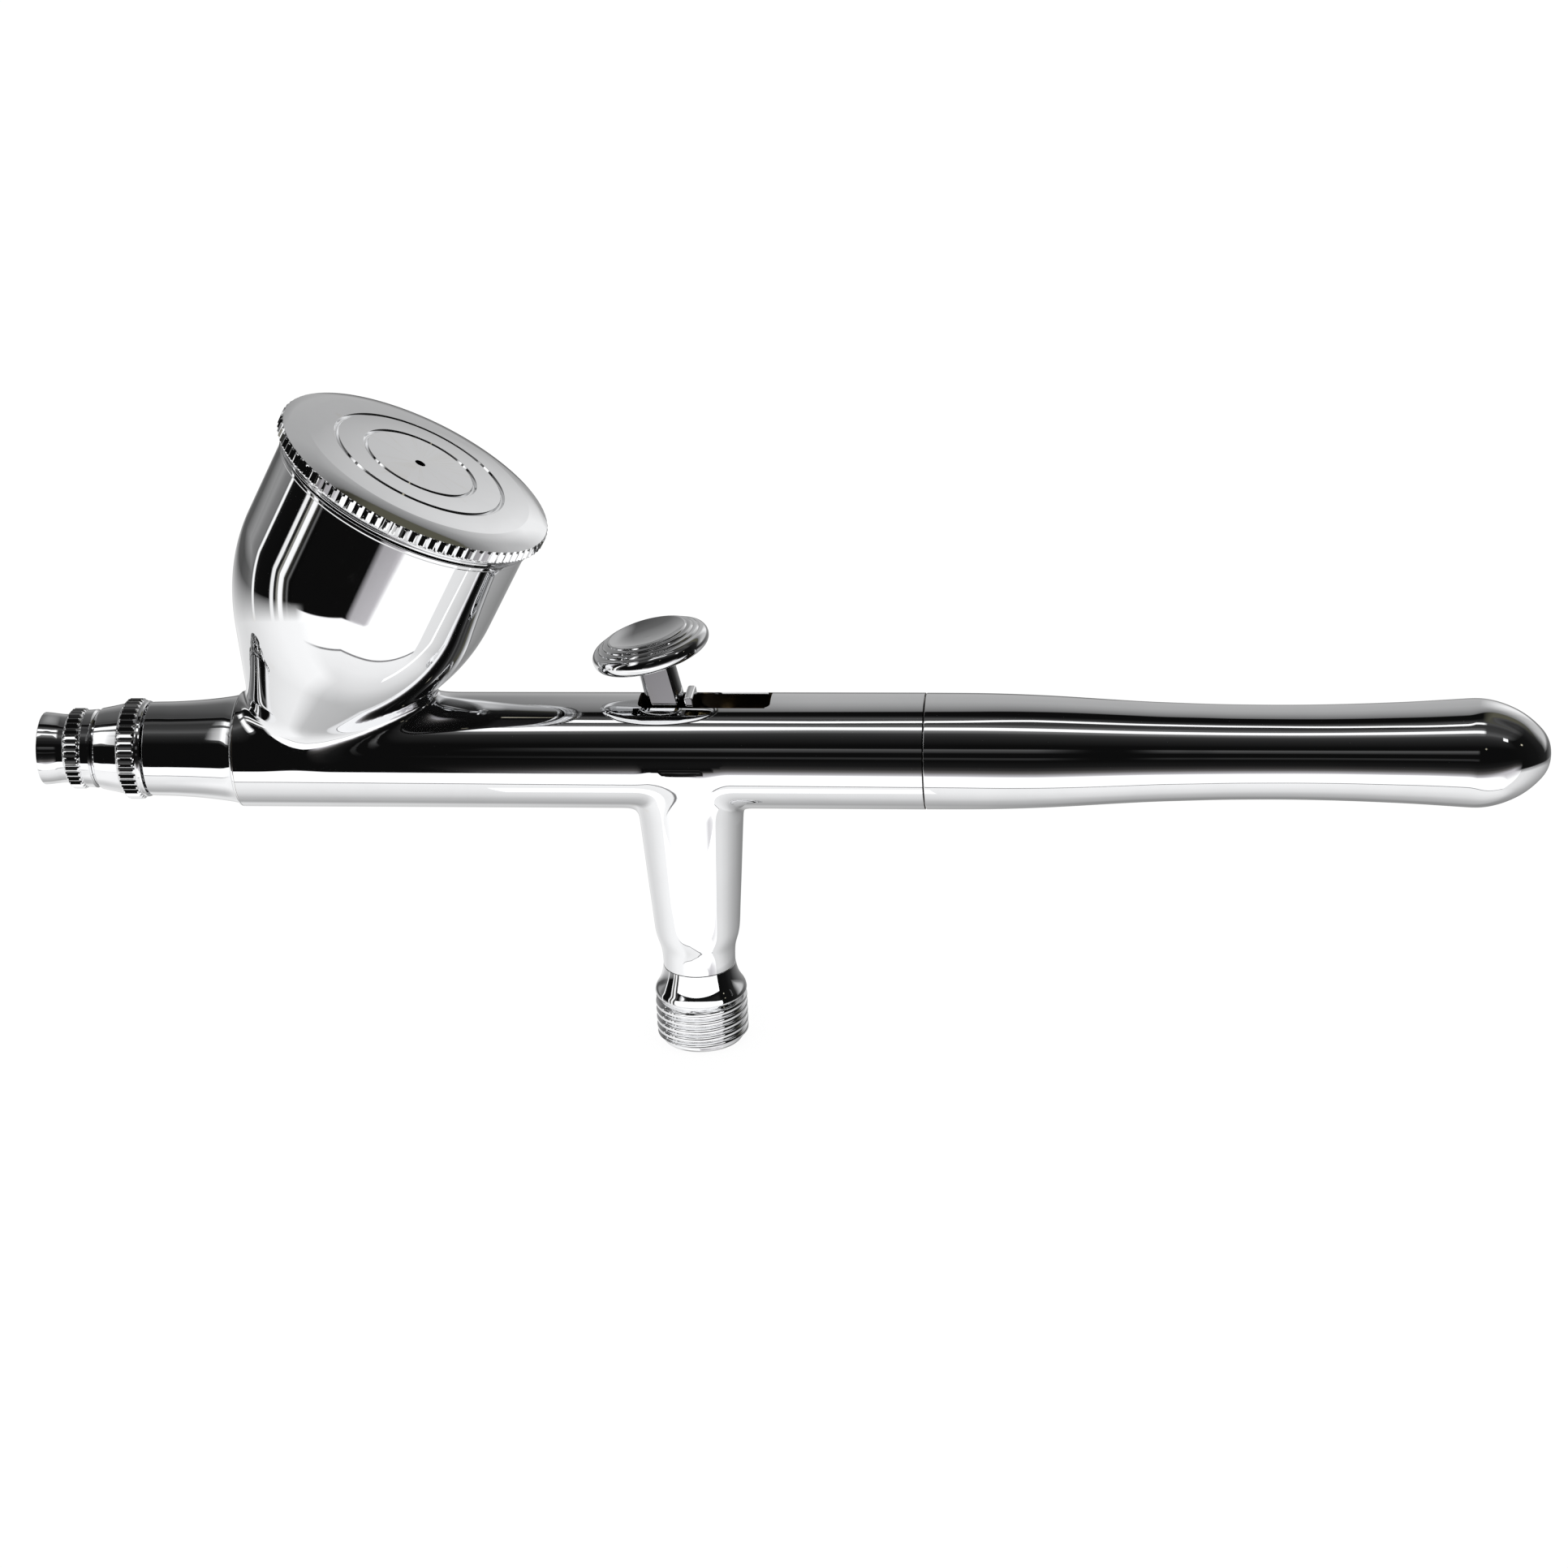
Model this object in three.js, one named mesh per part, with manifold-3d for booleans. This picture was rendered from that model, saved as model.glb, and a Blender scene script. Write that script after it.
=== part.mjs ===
// Gravity-feed double-action airbrush, millimetres.
// Construction frame: the barrel axis is X (nozzle at -X, handle at +X), Z is up,
// and X = 0 is the axis of the air valve under the finger button.
// The finished group is moved so that its origin is the middle of the footprint,
// level with the end face of the air inlet.
import * as THREE from 'three';
import { mergeVertices } from 'three/addons/utils/BufferGeometryUtils.js';
import Module from 'manifold-3d';

const wasm = await Module();
wasm.setup();

// ---------------------------------------------------------------- driving dimensions
const BARREL_R = 6.0;
const BARREL_REAR_X = 24.6;      // rear face of the barrel, where the handle starts
const NOSE_X = -56.6;            // front shoulder of the body
const TIP_X = -68.2;             // front rim of the needle cap
const TAIL_X = 87.85;            // rear end of the handle
const CUP_TILT = THREE.MathUtils.degToRad(28.6);   // cup axis leans to the rear from Z
const CUP_TOP = [-25.65, 0, 31.45];                // centre of the lid's top face
const CUP_R = 13.55;             // outer radius of the paint cup
const CUP_WALL = 0.65;
const CUP_BORE_R = CUP_R - CUP_WALL;
const LID_R = 14.65;             // lid radius over the knurl
const VALVE_SEAM_Z = -24.3;      // bottom of the valve housing, above the air inlet
const SEAM_GAP = 0.1;
const INLET_END_Z = -33.0;       // end face of the air inlet
const INLET_THREAD_R = 4.864;    // G 1/8 parallel thread, outside radius
const BUTTON_R = 6.14;
const BUTTON_CENTRE = [-3.29, 0, 11.5];
const BUTTON_TILT = THREE.MathUtils.degToRad(-12.5);   // stem and button lean forward at rest
const SLOT_HALF = 2.0;           // half width of the trigger slot
const SLOT_FRONT_X = -4.75;
const SLOT_REAR_X = 8.9;
const SLOT_TOP_Z = 9;            // clear of the barrel
const LEVER_HALF = 1.7;          // half thickness of both levers
const NEEDLE_GAP_HALF = 0.95;    // half width of the gap in both levers
const NEEDLE_R = 0.65;
const NEEDLE_TIP_X = -67.4;
const NEEDLE_TAIL_X = 62.0;
const CARRIAGE_BORE_R = 0.95;    // needle hole in the parts that carry it
const AIRWAY_R = 0.35;
const AIRWAY_SIDES = 8;
const SPRING_SIDES = 5;          // sides of the wire section
const SPRING_STEPS_PER_TURN = 10;
const MERGE_TOLERANCE = 1e-4;    // vertices closer than this become one

// ---------------------------------------------------------------- mesh conversion
// Weld the vertices, drop collapsed triangles and make the faces point outwards.
function toManifold(geometry) {
  geometry.deleteAttribute('normal');
  geometry.deleteAttribute('uv');
  const welded = mergeVertices(geometry, MERGE_TOLERANCE);
  const position = welded.getAttribute('position');
  const index = welded.index.array;
  const corner = (vertex) => new THREE.Vector3().fromBufferAttribute(position, vertex);
  const triangles = [];
  let volume = 0;
  for (let i = 0; i < index.length; i += 3) {
    const [a, b, c] = index.slice(i, i + 3);
    if (a === b || b === c || a === c) continue;
    triangles.push(a, b, c);
    volume += corner(a).dot(corner(b).cross(corner(c)));
  }
  if (volume < 0) {
    for (let i = 0; i < triangles.length; i += 3) {
      [triangles[i + 1], triangles[i + 2]] = [triangles[i + 2], triangles[i + 1]];
    }
  }
  const mesh = new wasm.Mesh({
    numProp: 3,
    vertProperties: position.array,
    triVerts: Uint32Array.from(triangles),
  });
  mesh.merge();
  return new wasm.Manifold(mesh);
}

function toGeometry(manifold) {
  const { vertProperties, triVerts } = manifold.getMesh();
  const geometry = new THREE.BufferGeometry();
  geometry.setAttribute('position', new THREE.Float32BufferAttribute(vertProperties, 3));
  geometry.setIndex(new THREE.Uint32BufferAttribute(triVerts, 1));
  return geometry;
}

// ---------------------------------------------------------------- shape helpers
// Turned parts are tables of stations [position along the axis, radius], followed by the
// number of facets round the axis. The ends are closed to the axis, unless RING is given,
// where the profile joins its own start.
const RING = true;
function turned(stations, segments, ring = false) {
  const points = stations.map(([along, radius]) => new THREE.Vector2(radius, along));
  const first = points[0];
  const last = points[points.length - 1];
  if (ring) points.push(first.clone());
  else {
    if (first.x > 0) points.unshift(new THREE.Vector2(0, first.y));
    if (last.x > 0) points.push(new THREE.Vector2(0, last.y));
  }
  return new THREE.LatheGeometry(points, segments);
}
const alongX = (...profile) => toManifold(turned(...profile).rotateZ(-Math.PI / 2));
const alongZ = (...profile) => toManifold(turned(...profile).rotateX(Math.PI / 2));
const alongTilted = (tilt, origin, profile) => toManifold(
  turned(...profile).rotateX(Math.PI / 2).rotateY(tilt).translate(...origin));
// positions are measured from the lid's top face
const alongCup = (...profile) => alongTilted(CUP_TILT, CUP_TOP, profile);
// positions are measured from the button's mid plane
const alongButton = (...profile) => alongTilted(BUTTON_TILT, BUTTON_CENTRE, profile);

// box centred on Y = 0
function block([x0, x1], halfY, [z0, z1]) {
  return toManifold(new THREE.BoxGeometry(x1 - x0, 2 * halfY, z1 - z0)
    .translate((x0 + x1) / 2, 0, (z0 + z1) / 2));
}

// plate cut to an outline of [x, z] points and centred on Y = 0
function plate(outline, half) {
  const shape = new THREE.Shape(outline.map(([x, z]) => new THREE.Vector2(x, z)));
  const geometry = new THREE.ExtrudeGeometry(shape, { depth: 2 * half, bevelEnabled: false });
  return toManifold(geometry.rotateX(Math.PI / 2).translate(0, half, 0));
}

// round bar between two points
function rod(from, to, radius, segments) {
  const start = new THREE.Vector3(...from);
  const end = new THREE.Vector3(...to);
  const direction = end.clone().sub(start).normalize();
  const turn = new THREE.Quaternion().setFromUnitVectors(new THREE.Vector3(0, 1, 0), direction);
  const middle = start.clone().add(end).multiplyScalar(0.5);
  return toManifold(new THREE.CylinderGeometry(radius, radius, start.distanceTo(end), segments)
    .applyQuaternion(turn)
    .translate(middle.x, middle.y, middle.z));
}

// points [cos, sin] evenly spaced round a circle
function circle(radius, sides) {
  return Array.from({ length: sides }, (_, i) => {
    const angle = 2 * Math.PI * i / sides;
    return new THREE.Vector2(radius * Math.cos(angle), radius * Math.sin(angle));
  });
}

// helix on the X or Z axis
class Coil extends THREE.Curve {
  constructor(dimensions) {
    super();
    Object.assign(this, dimensions);
  }
  getPoint(t, target = new THREE.Vector3()) {
    const angle = 2 * Math.PI * this.turns * t;
    const along = this.start + (this.end - this.start) * t;
    const c = this.radius * Math.cos(angle);
    const s = this.radius * Math.sin(angle);
    return this.axis === 'x' ? target.set(along, c, s) : target.set(c, s, along);
  }
}

// coil spring; wireR is the radius of the wire
function spring({ wireR, ...coil }) {
  return toManifold(new THREE.ExtrudeGeometry(new THREE.Shape(circle(wireR, SPRING_SIDES)), {
    steps: coil.turns * SPRING_STEPS_PER_TURN,
    bevelEnabled: false,
    extrudePath: new Coil(coil),
  }));
}

// ring with a round section, about Z
function oRing({ z, major, minor }) {
  const stations = circle(minor, 6).map((point) => [z + point.y, major + point.x]);
  return alongZ(stations, 16, RING);
}

// ---------------------------------------------------------------- materials
const material = (color, metalness, roughness) => (
  new THREE.MeshStandardMaterial({ color, metalness, roughness }));
const chrome = () => material(0xd8dade, 1.0, 0.06);
const brass = () => material(0xb99a5a, 1.0, 0.25);
const steel = () => material(0xb4b6ba, 1.0, 0.18);
const ptfe = () => material(0xe8e6de, 0.0, 0.5);
const rubber = () => material(0x151515, 0.0, 0.6);

const group = new THREE.Group();
group.position.set(-(TIP_X + TAIL_X) / 2, 0, -INLET_END_Z);
function add(name, manifold, finish) {
  const mesh = new THREE.Mesh(toGeometry(manifold), finish);
  mesh.name = name;
  group.add(mesh);
}

// ---------------------------------------------------------------- body
// barrel, with the cup and the valve housing brazed on
const barrel = alongX([
  [-60.4, 3.5], [NOSE_X, 3.5], [NOSE_X, 4.92], [-53.4, 5.0], [-50.3, 5.24], [-48.4, 5.48],
  [-47.1, 5.76], [-46.7, BARREL_R], [BARREL_REAR_X, BARREL_R], [BARREL_REAR_X, 4.95],
  [29.5, 4.95],
], 32);
const cup = alongCup([
  [-38, 2.28], [-34, 4.33], [-31, 5.86], [-27, 8.33], [-23, 10.64], [-21, 11.71],
  [-19, 12.48], [-17, 13.03], [-15, 13.39], [-12, CUP_R], [-3.95, CUP_R],
  [-3.75, 13.66], [-3.4, 13.66],
], 36);
const housing = alongZ([
  [VALVE_SEAM_Z, 3.81], [-22.8, 3.84], [-21.3, 4.21], [-20.5, 4.42], [-18.2, 4.59],
  [-13.7, 4.93], [-10, 5.22], [-7.6, 5.28], [-2.6, 5.28],
], 24);
const cupWell = alongCup([
  [-35.8, 2.4], [-34, 2.4], [-33, 3.6], [-31, 5.0], [-29, 6.25], [-27, 7.5], [-25, 8.65],
  [-23, 9.85], [-21, 10.95], [-19, 11.75], [-17, 12.35], [-15, 12.75],
  [-12, CUP_BORE_R], [-2, CUP_BORE_R],
], 28);
const needleBore = alongX([
  [-61, 1.65], [-58, 1.65], [-58, 1.3], [-31.3, 1.3], [-31.3, 2.3], [-4.6, 2.3],
], 16);
const rearBore = alongX([[2.95, 4.2], [30.5, 4.2]], 24);
const valveBore = alongZ([
  [-25, 2.9], [-13, 2.9], [-13, 1.5], [-6.2, 1.5], [-6.2, 2.5], [-5.4, 2.5], [-5.4, 1.5],
  [-4, 1.5],
], 16);
// the trigger slot gets shallower to the rear in three overlapping cuts: [x0, x1, floor z]
const triggerSlots = [
  [SLOT_FRONT_X, 1.5, -4.7],
  [1.4, 3.1, -2.85],
  [1.4, SLOT_REAR_X, 0],
].map(([x0, x1, floorZ]) => block([x0, x1], SLOT_HALF, [floorZ, SLOT_TOP_Z]));
// the airway climbs forward from the valve bore, then runs under the needle to the nose
const airRise = rod([-1.1, 0, -7.73], [-7.35, 0, -4.1], AIRWAY_R, AIRWAY_SIDES);
const airRun = rod([-7.0, 0, -4.3], [-57.5, 0, -4.3], AIRWAY_R, AIRWAY_SIDES);

const cuts = [cupWell, needleBore, rearBore, ...triggerSlots, valveBore, airRise, airRun];
add('body', cuts.reduce((solid, cut) => solid.subtract(cut), barrel.add(cup).add(housing)),
  chrome());

// ---------------------------------------------------------------- paint cup lid
// with vent hole and plug skirt
add('cup_lid', alongCup([
  [0, 0.5], [-0.1, 6.5], [-0.42, 12.95], [-0.85, 14.4], [-1.1, LID_R], [-2.2, LID_R],
  [-2.35, 13.9], [-3.08, 13.9], [-3.08, 12.55], [-8.3, 12.5], [-8.3, 11.8], [-1.5, 11.8],
  [-1.3, 0.5],
], 36, RING), chrome());

// ---------------------------------------------------------------- nozzle end
add('needle_cap', alongX([
  [TIP_X, 3.85], [-67.05, 3.7], [-66.0, 3.6], [-65.2, 3.62], [-65.15, 4.24], [-63.6, 4.24],
  [-63.4, 4.07], [-62.35, 4.12], [-62.35, 3.3], [-65.8, 3.3], [-65.8, 1.6], [-66.4, 1.6],
  [TIP_X, 3.0],
], 24, RING), chrome());
add('nozzle_cap', alongX([
  [-65.5, 3.0], [-62.25, 3.0], [-62.25, 4.16], [-61.3, 4.4], [-60.2, 4.61], [-59.1, 4.84],
  [-59.05, 5.29], [-57.35, 5.29], [-57.3, 5.05], [-56.85, 5.05], [-56.85, 4.6], [-57.7, 4.6],
  [-57.7, 3.75], [-60.6, 3.75], [-61.7, 2.9], [-62.6, 1.9], [-64.9, 1.9], [-64.9, 1.15],
  [-65.5, 1.15],
], 24, RING), chrome());
add('nozzle', alongX([
  [-66.3, 0.55], [-61.5, 1.6], [-61.5, 2.5], [-60.9, 2.5], [-60.9, 1.4], [-58.2, 1.4],
  [-58.2, 0.95], [-61.5, 0.95], [-66.3, 0.3],
], 16, RING), steel());
add('nozzle_seal', alongX([
  [-60.85, 1.75], [-60.85, 2.45], [-60.45, 2.45], [-60.45, 1.75],
], 16, RING), ptfe());

// ---------------------------------------------------------------- needle and its packing
add('needle', alongX([
  [NEEDLE_TIP_X, 0.03], [-60, NEEDLE_R], [NEEDLE_TAIL_X - 0.4, NEEDLE_R], [NEEDLE_TAIL_X, 0.35],
], 12), steel());
add('needle_packing', alongX([
  [-31.2, 0.8], [-31.2, 2.1], [-28.4, 2.1], [-28.4, 0.8],
], 16, RING), ptfe());
const packingScrewSlot = block([-22.6, -21], 0.3, [-3, 3]);
add('needle_packing_screw', alongX([
  [-28.1, CARRIAGE_BORE_R], [-28.1, 2.1], [-21.5, 2.1], [-21.5, CARRIAGE_BORE_R],
], 16, RING).subtract(packingScrewSlot), brass());

// ---------------------------------------------------------------- trigger
// point on the stem's axis, at a distance up from the button's mid plane
const onStem = (distance) => [
  BUTTON_CENTRE[0] + distance * Math.sin(BUTTON_TILT),
  0,
  BUTTON_CENTRE[2] + distance * Math.cos(BUTTON_TILT),
];
const stemFlats = block([-8, 4], 1.5, [0, 16]);
const stem = rod(onStem(-10.2), onStem(-1.3), 1.95, 24).intersect(stemFlats);
const spigot = rod(onStem(-2.4), onStem(-0.5), 1.0, 16);
// the fork's foot is a round nose about x 0, z -2 that rocks on the valve piston
const fork = plate([
  [-3.5, 3.9], [-2.9, 1.0], [-1.7, -0.8], [-0.78, -1.75], [-0.5, -2.33], [-0.3, -2.52],
  [0, -2.6], [0.3, -2.52], [0.52, -2.3], [0.6, -2.0], [0.55, -1.3], [0.45, 0], [0.3, 2.0],
  [0.1, 3.9],
], LEVER_HALF);
const forkGap = block([-8, 4], NEEDLE_GAP_HALF, [-6, 3.6]);
add('trigger_lever', stem.add(fork).subtract(forkGap).add(spigot), chrome());

// dished button with a socket for the spigot underneath
add('trigger_button', alongButton([
  [-1.0, 1.4], [-1.0, 4.6], [-0.88, 5.35], [-0.57, 5.9], [0, BUTTON_R], [0.45, 6.1],
  [0.8, 5.85], [1.1, 5.4], [1.45, 4.8], [1.65, 4.0], [1.35, 3.0], [1.1, 0], [-0.15, 0],
  [-0.15, 1.4],
], 28, RING), chrome());

// forked lever standing on a flat foot behind the trigger lever
const auxiliaryGap = block([-2, 6], NEEDLE_GAP_HALF, [-4, 1.6]);
add('auxiliary_lever', plate([
  [1.99, -2.4], [0.06, 6.3], [0.14, 6.5], [0.38, 6.6], [0.62, 6.5], [0.74, 6.3],
  [0.95, 5.35], [1.2, 4.4], [2.9, 3.3], [2.9, -2.4],
], LEVER_HALF).subtract(auxiliaryGap), chrome());

// ---------------------------------------------------------------- needle carriage
// in the rear of the body
const guideTailSlot = block([47, 53], 0.2, [-3, 3]);
add('needle_chucking_guide', alongX([
  [3.25, CARRIAGE_BORE_R], [3.25, 3.9], [4.5, 3.9], [4.5, 2.7], [19, 2.7], [19, 1.9],
  [52, 1.9], [52, CARRIAGE_BORE_R],
], 20, RING).subtract(guideTailSlot), brass());
add('needle_spring', spring({
  axis: 'x', start: 19.4, end: 43.5, radius: 2.475, wireR: 0.25, turns: 10,
}), steel());
add('spring_case', alongX([
  [17.5, 3.05], [17.5, 3.95], [26.5, 3.95], [26.5, 3.6], [45.3, 3.6], [45.3, 2.2], [44, 2.2],
  [44, 3.05],
], 24, RING), brass());
add('needle_chucking_nut', alongX([
  [47.5, 2.2], [47.5, 3.1], [48, 3.3], [54.5, 3.3], [55, 3.0], [55, CARRIAGE_BORE_R],
  [53.6, CARRIAGE_BORE_R], [52.6, 2.2],
], 20, RING), brass());

// ---------------------------------------------------------------- handle
const HANDLE_FRONT_X = BARREL_REAR_X + 0.15;
add('handle', alongX([
  [HANDLE_FRONT_X, 5.25], [HANDLE_FRONT_X, 5.97], [31.2, 5.95], [36.2, 5.78], [41.2, 5.5],
  [46.1, 5.195], [51.1, 4.99], [56, 4.855], [60.9, 4.83], [65.8, 4.88], [70.7, 5.04],
  [75.6, 5.275], [78.85, 5.495], [80.4, 5.58], [82.1, 5.345], [83.7, 4.815], [85.3, 3.94],
  [86.5, 2.97], [87.33, 2.0], [87.73, 0.92], [TAIL_X, 0], [66.8, 0], [66, 1.3], [60.5, 1.5],
  [58.7, 3.95], [30, 3.95], [30, 5.25],
], 28, RING), chrome());

// ---------------------------------------------------------------- air valve
add('valve_piston', alongZ([
  [-12.65, 1.0], [-12.5, 1.15], [-3.1, 1.15], [-2.75, 0.8],
], 16), steel());
add('piston_o_ring', oRing({ z: -5.8, major: 1.86, minor: 0.36 }), rubber());
add('air_valve', alongZ([
  [-20, 0.5], [-19.8, 0.7], [-15.1, 0.7], [-15.1, 2.45], [-14.3, 2.45], [-14.3, 1.3],
  [-13.0, 1.3],
], 16), brass());
add('air_valve_o_ring', oRing({ z: -13.7, major: 1.98, minor: 0.34 }), rubber());
add('air_valve_spring', spring({
  axis: 'z', start: -18.0, end: -15.45, radius: 1.5, wireR: 0.2, turns: 3.5,
}), steel());
const guideScrewSlot = block([-3, 3], 0.35, [-21.5, -20.2]);
add('valve_guide_screw', alongZ([
  [-20.9, 1.1], [-20.9, 2.65], [-18.45, 2.65], [-18.45, 1.1],
], 16, RING).subtract(guideScrewSlot), brass());

// threaded sleeve with a neck that reaches up into the valve housing
const INLET_SHOULDER_Z = VALVE_SEAM_Z - SEAM_GAP;
add('air_inlet', alongZ([
  [INLET_END_Z, 2.0], [INLET_END_Z, 4.3], [-32.3, INLET_THREAD_R], [-27.4, INLET_THREAD_R],
  [-26.6, 4.51], [-25.9, 4.15], [-25.1, 3.95], [INLET_SHOULDER_Z, 3.82],
  [INLET_SHOULDER_Z, 2.65], [-21.3, 2.65], [-21.3, 1.75], [-30.0, 1.75], [-30.4, 2.0],
], 28, RING), chrome());

export default group;
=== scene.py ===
# Gravity-feed double-action airbrush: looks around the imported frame.
# Shapes are built in millimetres in the part's construction frame (barrel axis X, air valve axis at X 0)
# and moved to the row frame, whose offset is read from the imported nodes.
import bpy
import math
import numpy as np
from mathutils import Vector, Matrix


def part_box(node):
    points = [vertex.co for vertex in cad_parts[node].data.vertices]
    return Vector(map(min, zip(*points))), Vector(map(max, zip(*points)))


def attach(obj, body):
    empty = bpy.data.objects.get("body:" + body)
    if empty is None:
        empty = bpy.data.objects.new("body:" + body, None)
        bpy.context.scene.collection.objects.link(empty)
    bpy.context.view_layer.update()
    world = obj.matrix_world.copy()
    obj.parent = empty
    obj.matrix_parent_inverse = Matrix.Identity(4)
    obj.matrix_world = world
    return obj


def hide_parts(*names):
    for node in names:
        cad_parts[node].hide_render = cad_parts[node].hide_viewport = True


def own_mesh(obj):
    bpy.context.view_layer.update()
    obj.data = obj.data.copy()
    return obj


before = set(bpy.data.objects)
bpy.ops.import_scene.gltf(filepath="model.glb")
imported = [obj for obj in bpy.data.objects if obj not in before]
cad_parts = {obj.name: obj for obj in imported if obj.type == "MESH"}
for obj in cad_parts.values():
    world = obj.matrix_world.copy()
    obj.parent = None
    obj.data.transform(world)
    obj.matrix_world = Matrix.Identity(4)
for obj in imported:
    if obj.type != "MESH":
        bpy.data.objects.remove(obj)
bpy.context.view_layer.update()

MM = 0.001
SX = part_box("needle_cap")[0].x / MM + 68.2
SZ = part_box("air_inlet")[0].z / MM + 33.0
SHIFT = np.array([SX, 0.0, SZ])
TILT = math.radians(28.6)
CUP_O = np.array([-25.65, 0.0, 31.45])
BTILT = math.radians(-12.5)
BTN_O = np.array([-3.29, 0.0, 11.5])


def axes(origin, direction):
    """A turning frame: origin, axis, and two directions square to it."""
    a = np.array(direction, float)
    a /= np.linalg.norm(a)
    u = np.array([0.0, 1.0, 0.0])
    u -= a * (u @ a)
    u /= np.linalg.norm(u)
    return np.array(origin, float), a, u, np.cross(a, u)


AX = axes((0, 0, 0), (1, 0, 0))
AZ = axes((0, 0, 0), (0, 0, 1))
ACUP = axes(CUP_O, (math.sin(TILT), 0, math.cos(TILT)))
ABTN = axes(BTN_O, (math.sin(BTILT), 0, math.cos(BTILT)))


# ------------------------------------------------------------------ profiles
def spline(pts, step):
    """Natural cubic spline through the points, by chord length."""
    p = np.array(pts, float)
    n = len(p)
    d = np.linalg.norm(np.diff(p, axis=0), axis=1)
    t = np.concatenate([[0], np.cumsum(d)])
    if n == 2:
        return p
    m = np.zeros((n, n))
    rhs = np.zeros((n, 2))
    m[0, 0] = m[-1, -1] = 1
    for i in range(1, n - 1):
        m[i, i - 1], m[i, i], m[i, i + 1] = d[i - 1], 2 * (d[i - 1] + d[i]), d[i]
        rhs[i] = 6 * ((p[i + 1] - p[i]) / d[i] - (p[i] - p[i - 1]) / d[i - 1])
    k = np.linalg.solve(m, rhs)
    out = [p[0]]
    for i in range(n - 1):
        c = max(1, int(math.ceil(d[i] / step)))
        for s in np.arange(1, c + 1) / c:
            x = s * d[i]
            y = d[i] - x
            out.append(
                k[i] * y ** 3 / (6 * d[i]) + k[i + 1] * x ** 3 / (6 * d[i])
                + (p[i] / d[i] - k[i] * d[i] / 6) * y + (p[i + 1] / d[i] - k[i + 1] * d[i] / 6) * x
            )
    return np.array(out)


def path(items, closed=False, f=0.08, step=0.3, arc=14):
    """A profile as (position along the axis, radius). An item (a, r) is a corner rounded by f, (a, r, f2) by f2,
    and ('s', a, r) is a point that the curve passes through smoothly."""
    runs, pts = [], []
    its = list(items)
    if closed:
        its = its + [its[0]]
    cur = [tuple(its[0][:2])]
    fil = [its[0][2] if len(its[0]) > 2 else f]
    for it in its[1:]:
        if it[0] == "s":
            cur.append((it[1], it[2]))
        else:
            cur.append((it[0], it[1]))
            runs.append(spline(cur, step))
            cur = [(it[0], it[1])]
            fil.append(it[2] if len(it) > 2 else f)
    n = len(runs)
    out = []
    for k in range(n):
        r = runs[k]
        a0 = fil[k]
        prev = runs[k - 1] if (k > 0 or closed) else None
        if prev is None:
            out.append(r[0])
        else:
            c = r[0]
            d1, d2 = c - prev[-2], r[1] - c
            l1, l2 = np.linalg.norm(d1), np.linalg.norm(d2)
            d1, d2 = d1 / l1, d2 / l2
            ang = math.acos(max(-1, min(1, float(d1 @ d2))))
            if ang < 0.03 or a0 <= 0 or ang > 3.1:
                out.append(c)
            else:
                tl = min(a0 * math.tan(ang / 2), 0.45 * l1, 0.45 * l2)
                rad = tl / math.tan(ang / 2)
                p0 = c - d1 * tl
                side = 1.0 if (d1[0] * d2[1] - d1[1] * d2[0]) > 0 else -1.0
                nrm = np.array([-d1[1], d1[0]]) * side
                ctr = p0 + nrm * rad
                cnt = max(2, int(math.ceil(ang / math.radians(arc))))
                for i in range(cnt + 1):
                    th = ang * i / cnt * side
                    v = p0 - ctr
                    out.append(ctr + np.array([v[0] * math.cos(th) - v[1] * math.sin(th), v[0] * math.sin(th) + v[1] * math.cos(th)]))
        out.extend(list(r[1:-1]))
    if not closed:
        out.append(runs[-1][-1])
    out = np.array(out)
    keep = [0]
    for i in range(1, len(out)):
        if np.linalg.norm(out[i] - out[keep[-1]]) > 1e-4:
            keep.append(i)
    out = out[keep]
    if closed and np.linalg.norm(out[0] - out[-1]) < 1e-4:
        out = out[:-1]
    a, r = out[:, 0], out[:, 1]
    q = np.vstack([out, out[:1]]) if closed else np.vstack([out, [[a[-1], 0], [a[0], 0]], out[:1]])
    area = 0.5 * np.sum(q[:-1, 0] * q[1:, 1] - q[1:, 0] * q[:-1, 1])
    return out[::-1] if area > 0 else out


def add_rows(p, rows, lo, hi, rmin, closed=False):
    """Extra points at the given positions on the outside straight runs, where teeth or threads need them."""
    out = []
    n = len(p)
    for i in range(n):
        out.append(p[i])
        if i == n - 1 and not closed:
            break
        q = p[(i + 1) % n]
        if min(p[i][1], q[1]) >= rmin and abs(q[0] - p[i][0]) > 1e-3:
            s = [x for x in rows if min(p[i][0], q[0]) + 1e-3 < x < max(p[i][0], q[0]) - 1e-3 and lo <= x <= hi]
            for x in sorted(s, reverse=bool(q[0] < p[i][0])):
                w = (x - p[i][0]) / (q[0] - p[i][0])
                out.append(p[i] + (q - p[i]) * w)
    return np.array(out)


# ------------------------------------------------------------------ meshes
OBJ = {}


def piece_name(name):
    return name + "_finish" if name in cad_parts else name


def to_object(name, co, faces, mats, normals=None, face_mat=None):
    me = bpy.data.meshes.new(name)
    me.from_pydata(((np.asarray(co) + SHIFT) * MM).tolist(), [], faces)
    me.update()
    for m in mats:
        me.materials.append(m)
    if face_mat is not None:
        me.polygons.foreach_set("material_index", np.asarray(face_mat, np.int32))
    me.shade_smooth()
    if normals is not None:
        me.normals_split_custom_set_from_vertices(np.asarray(normals, float).tolist())
    o = bpy.data.objects.new(piece_name(name), me)
    OBJ[name] = o
    bpy.context.scene.collection.objects.link(o)
    return o


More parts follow.
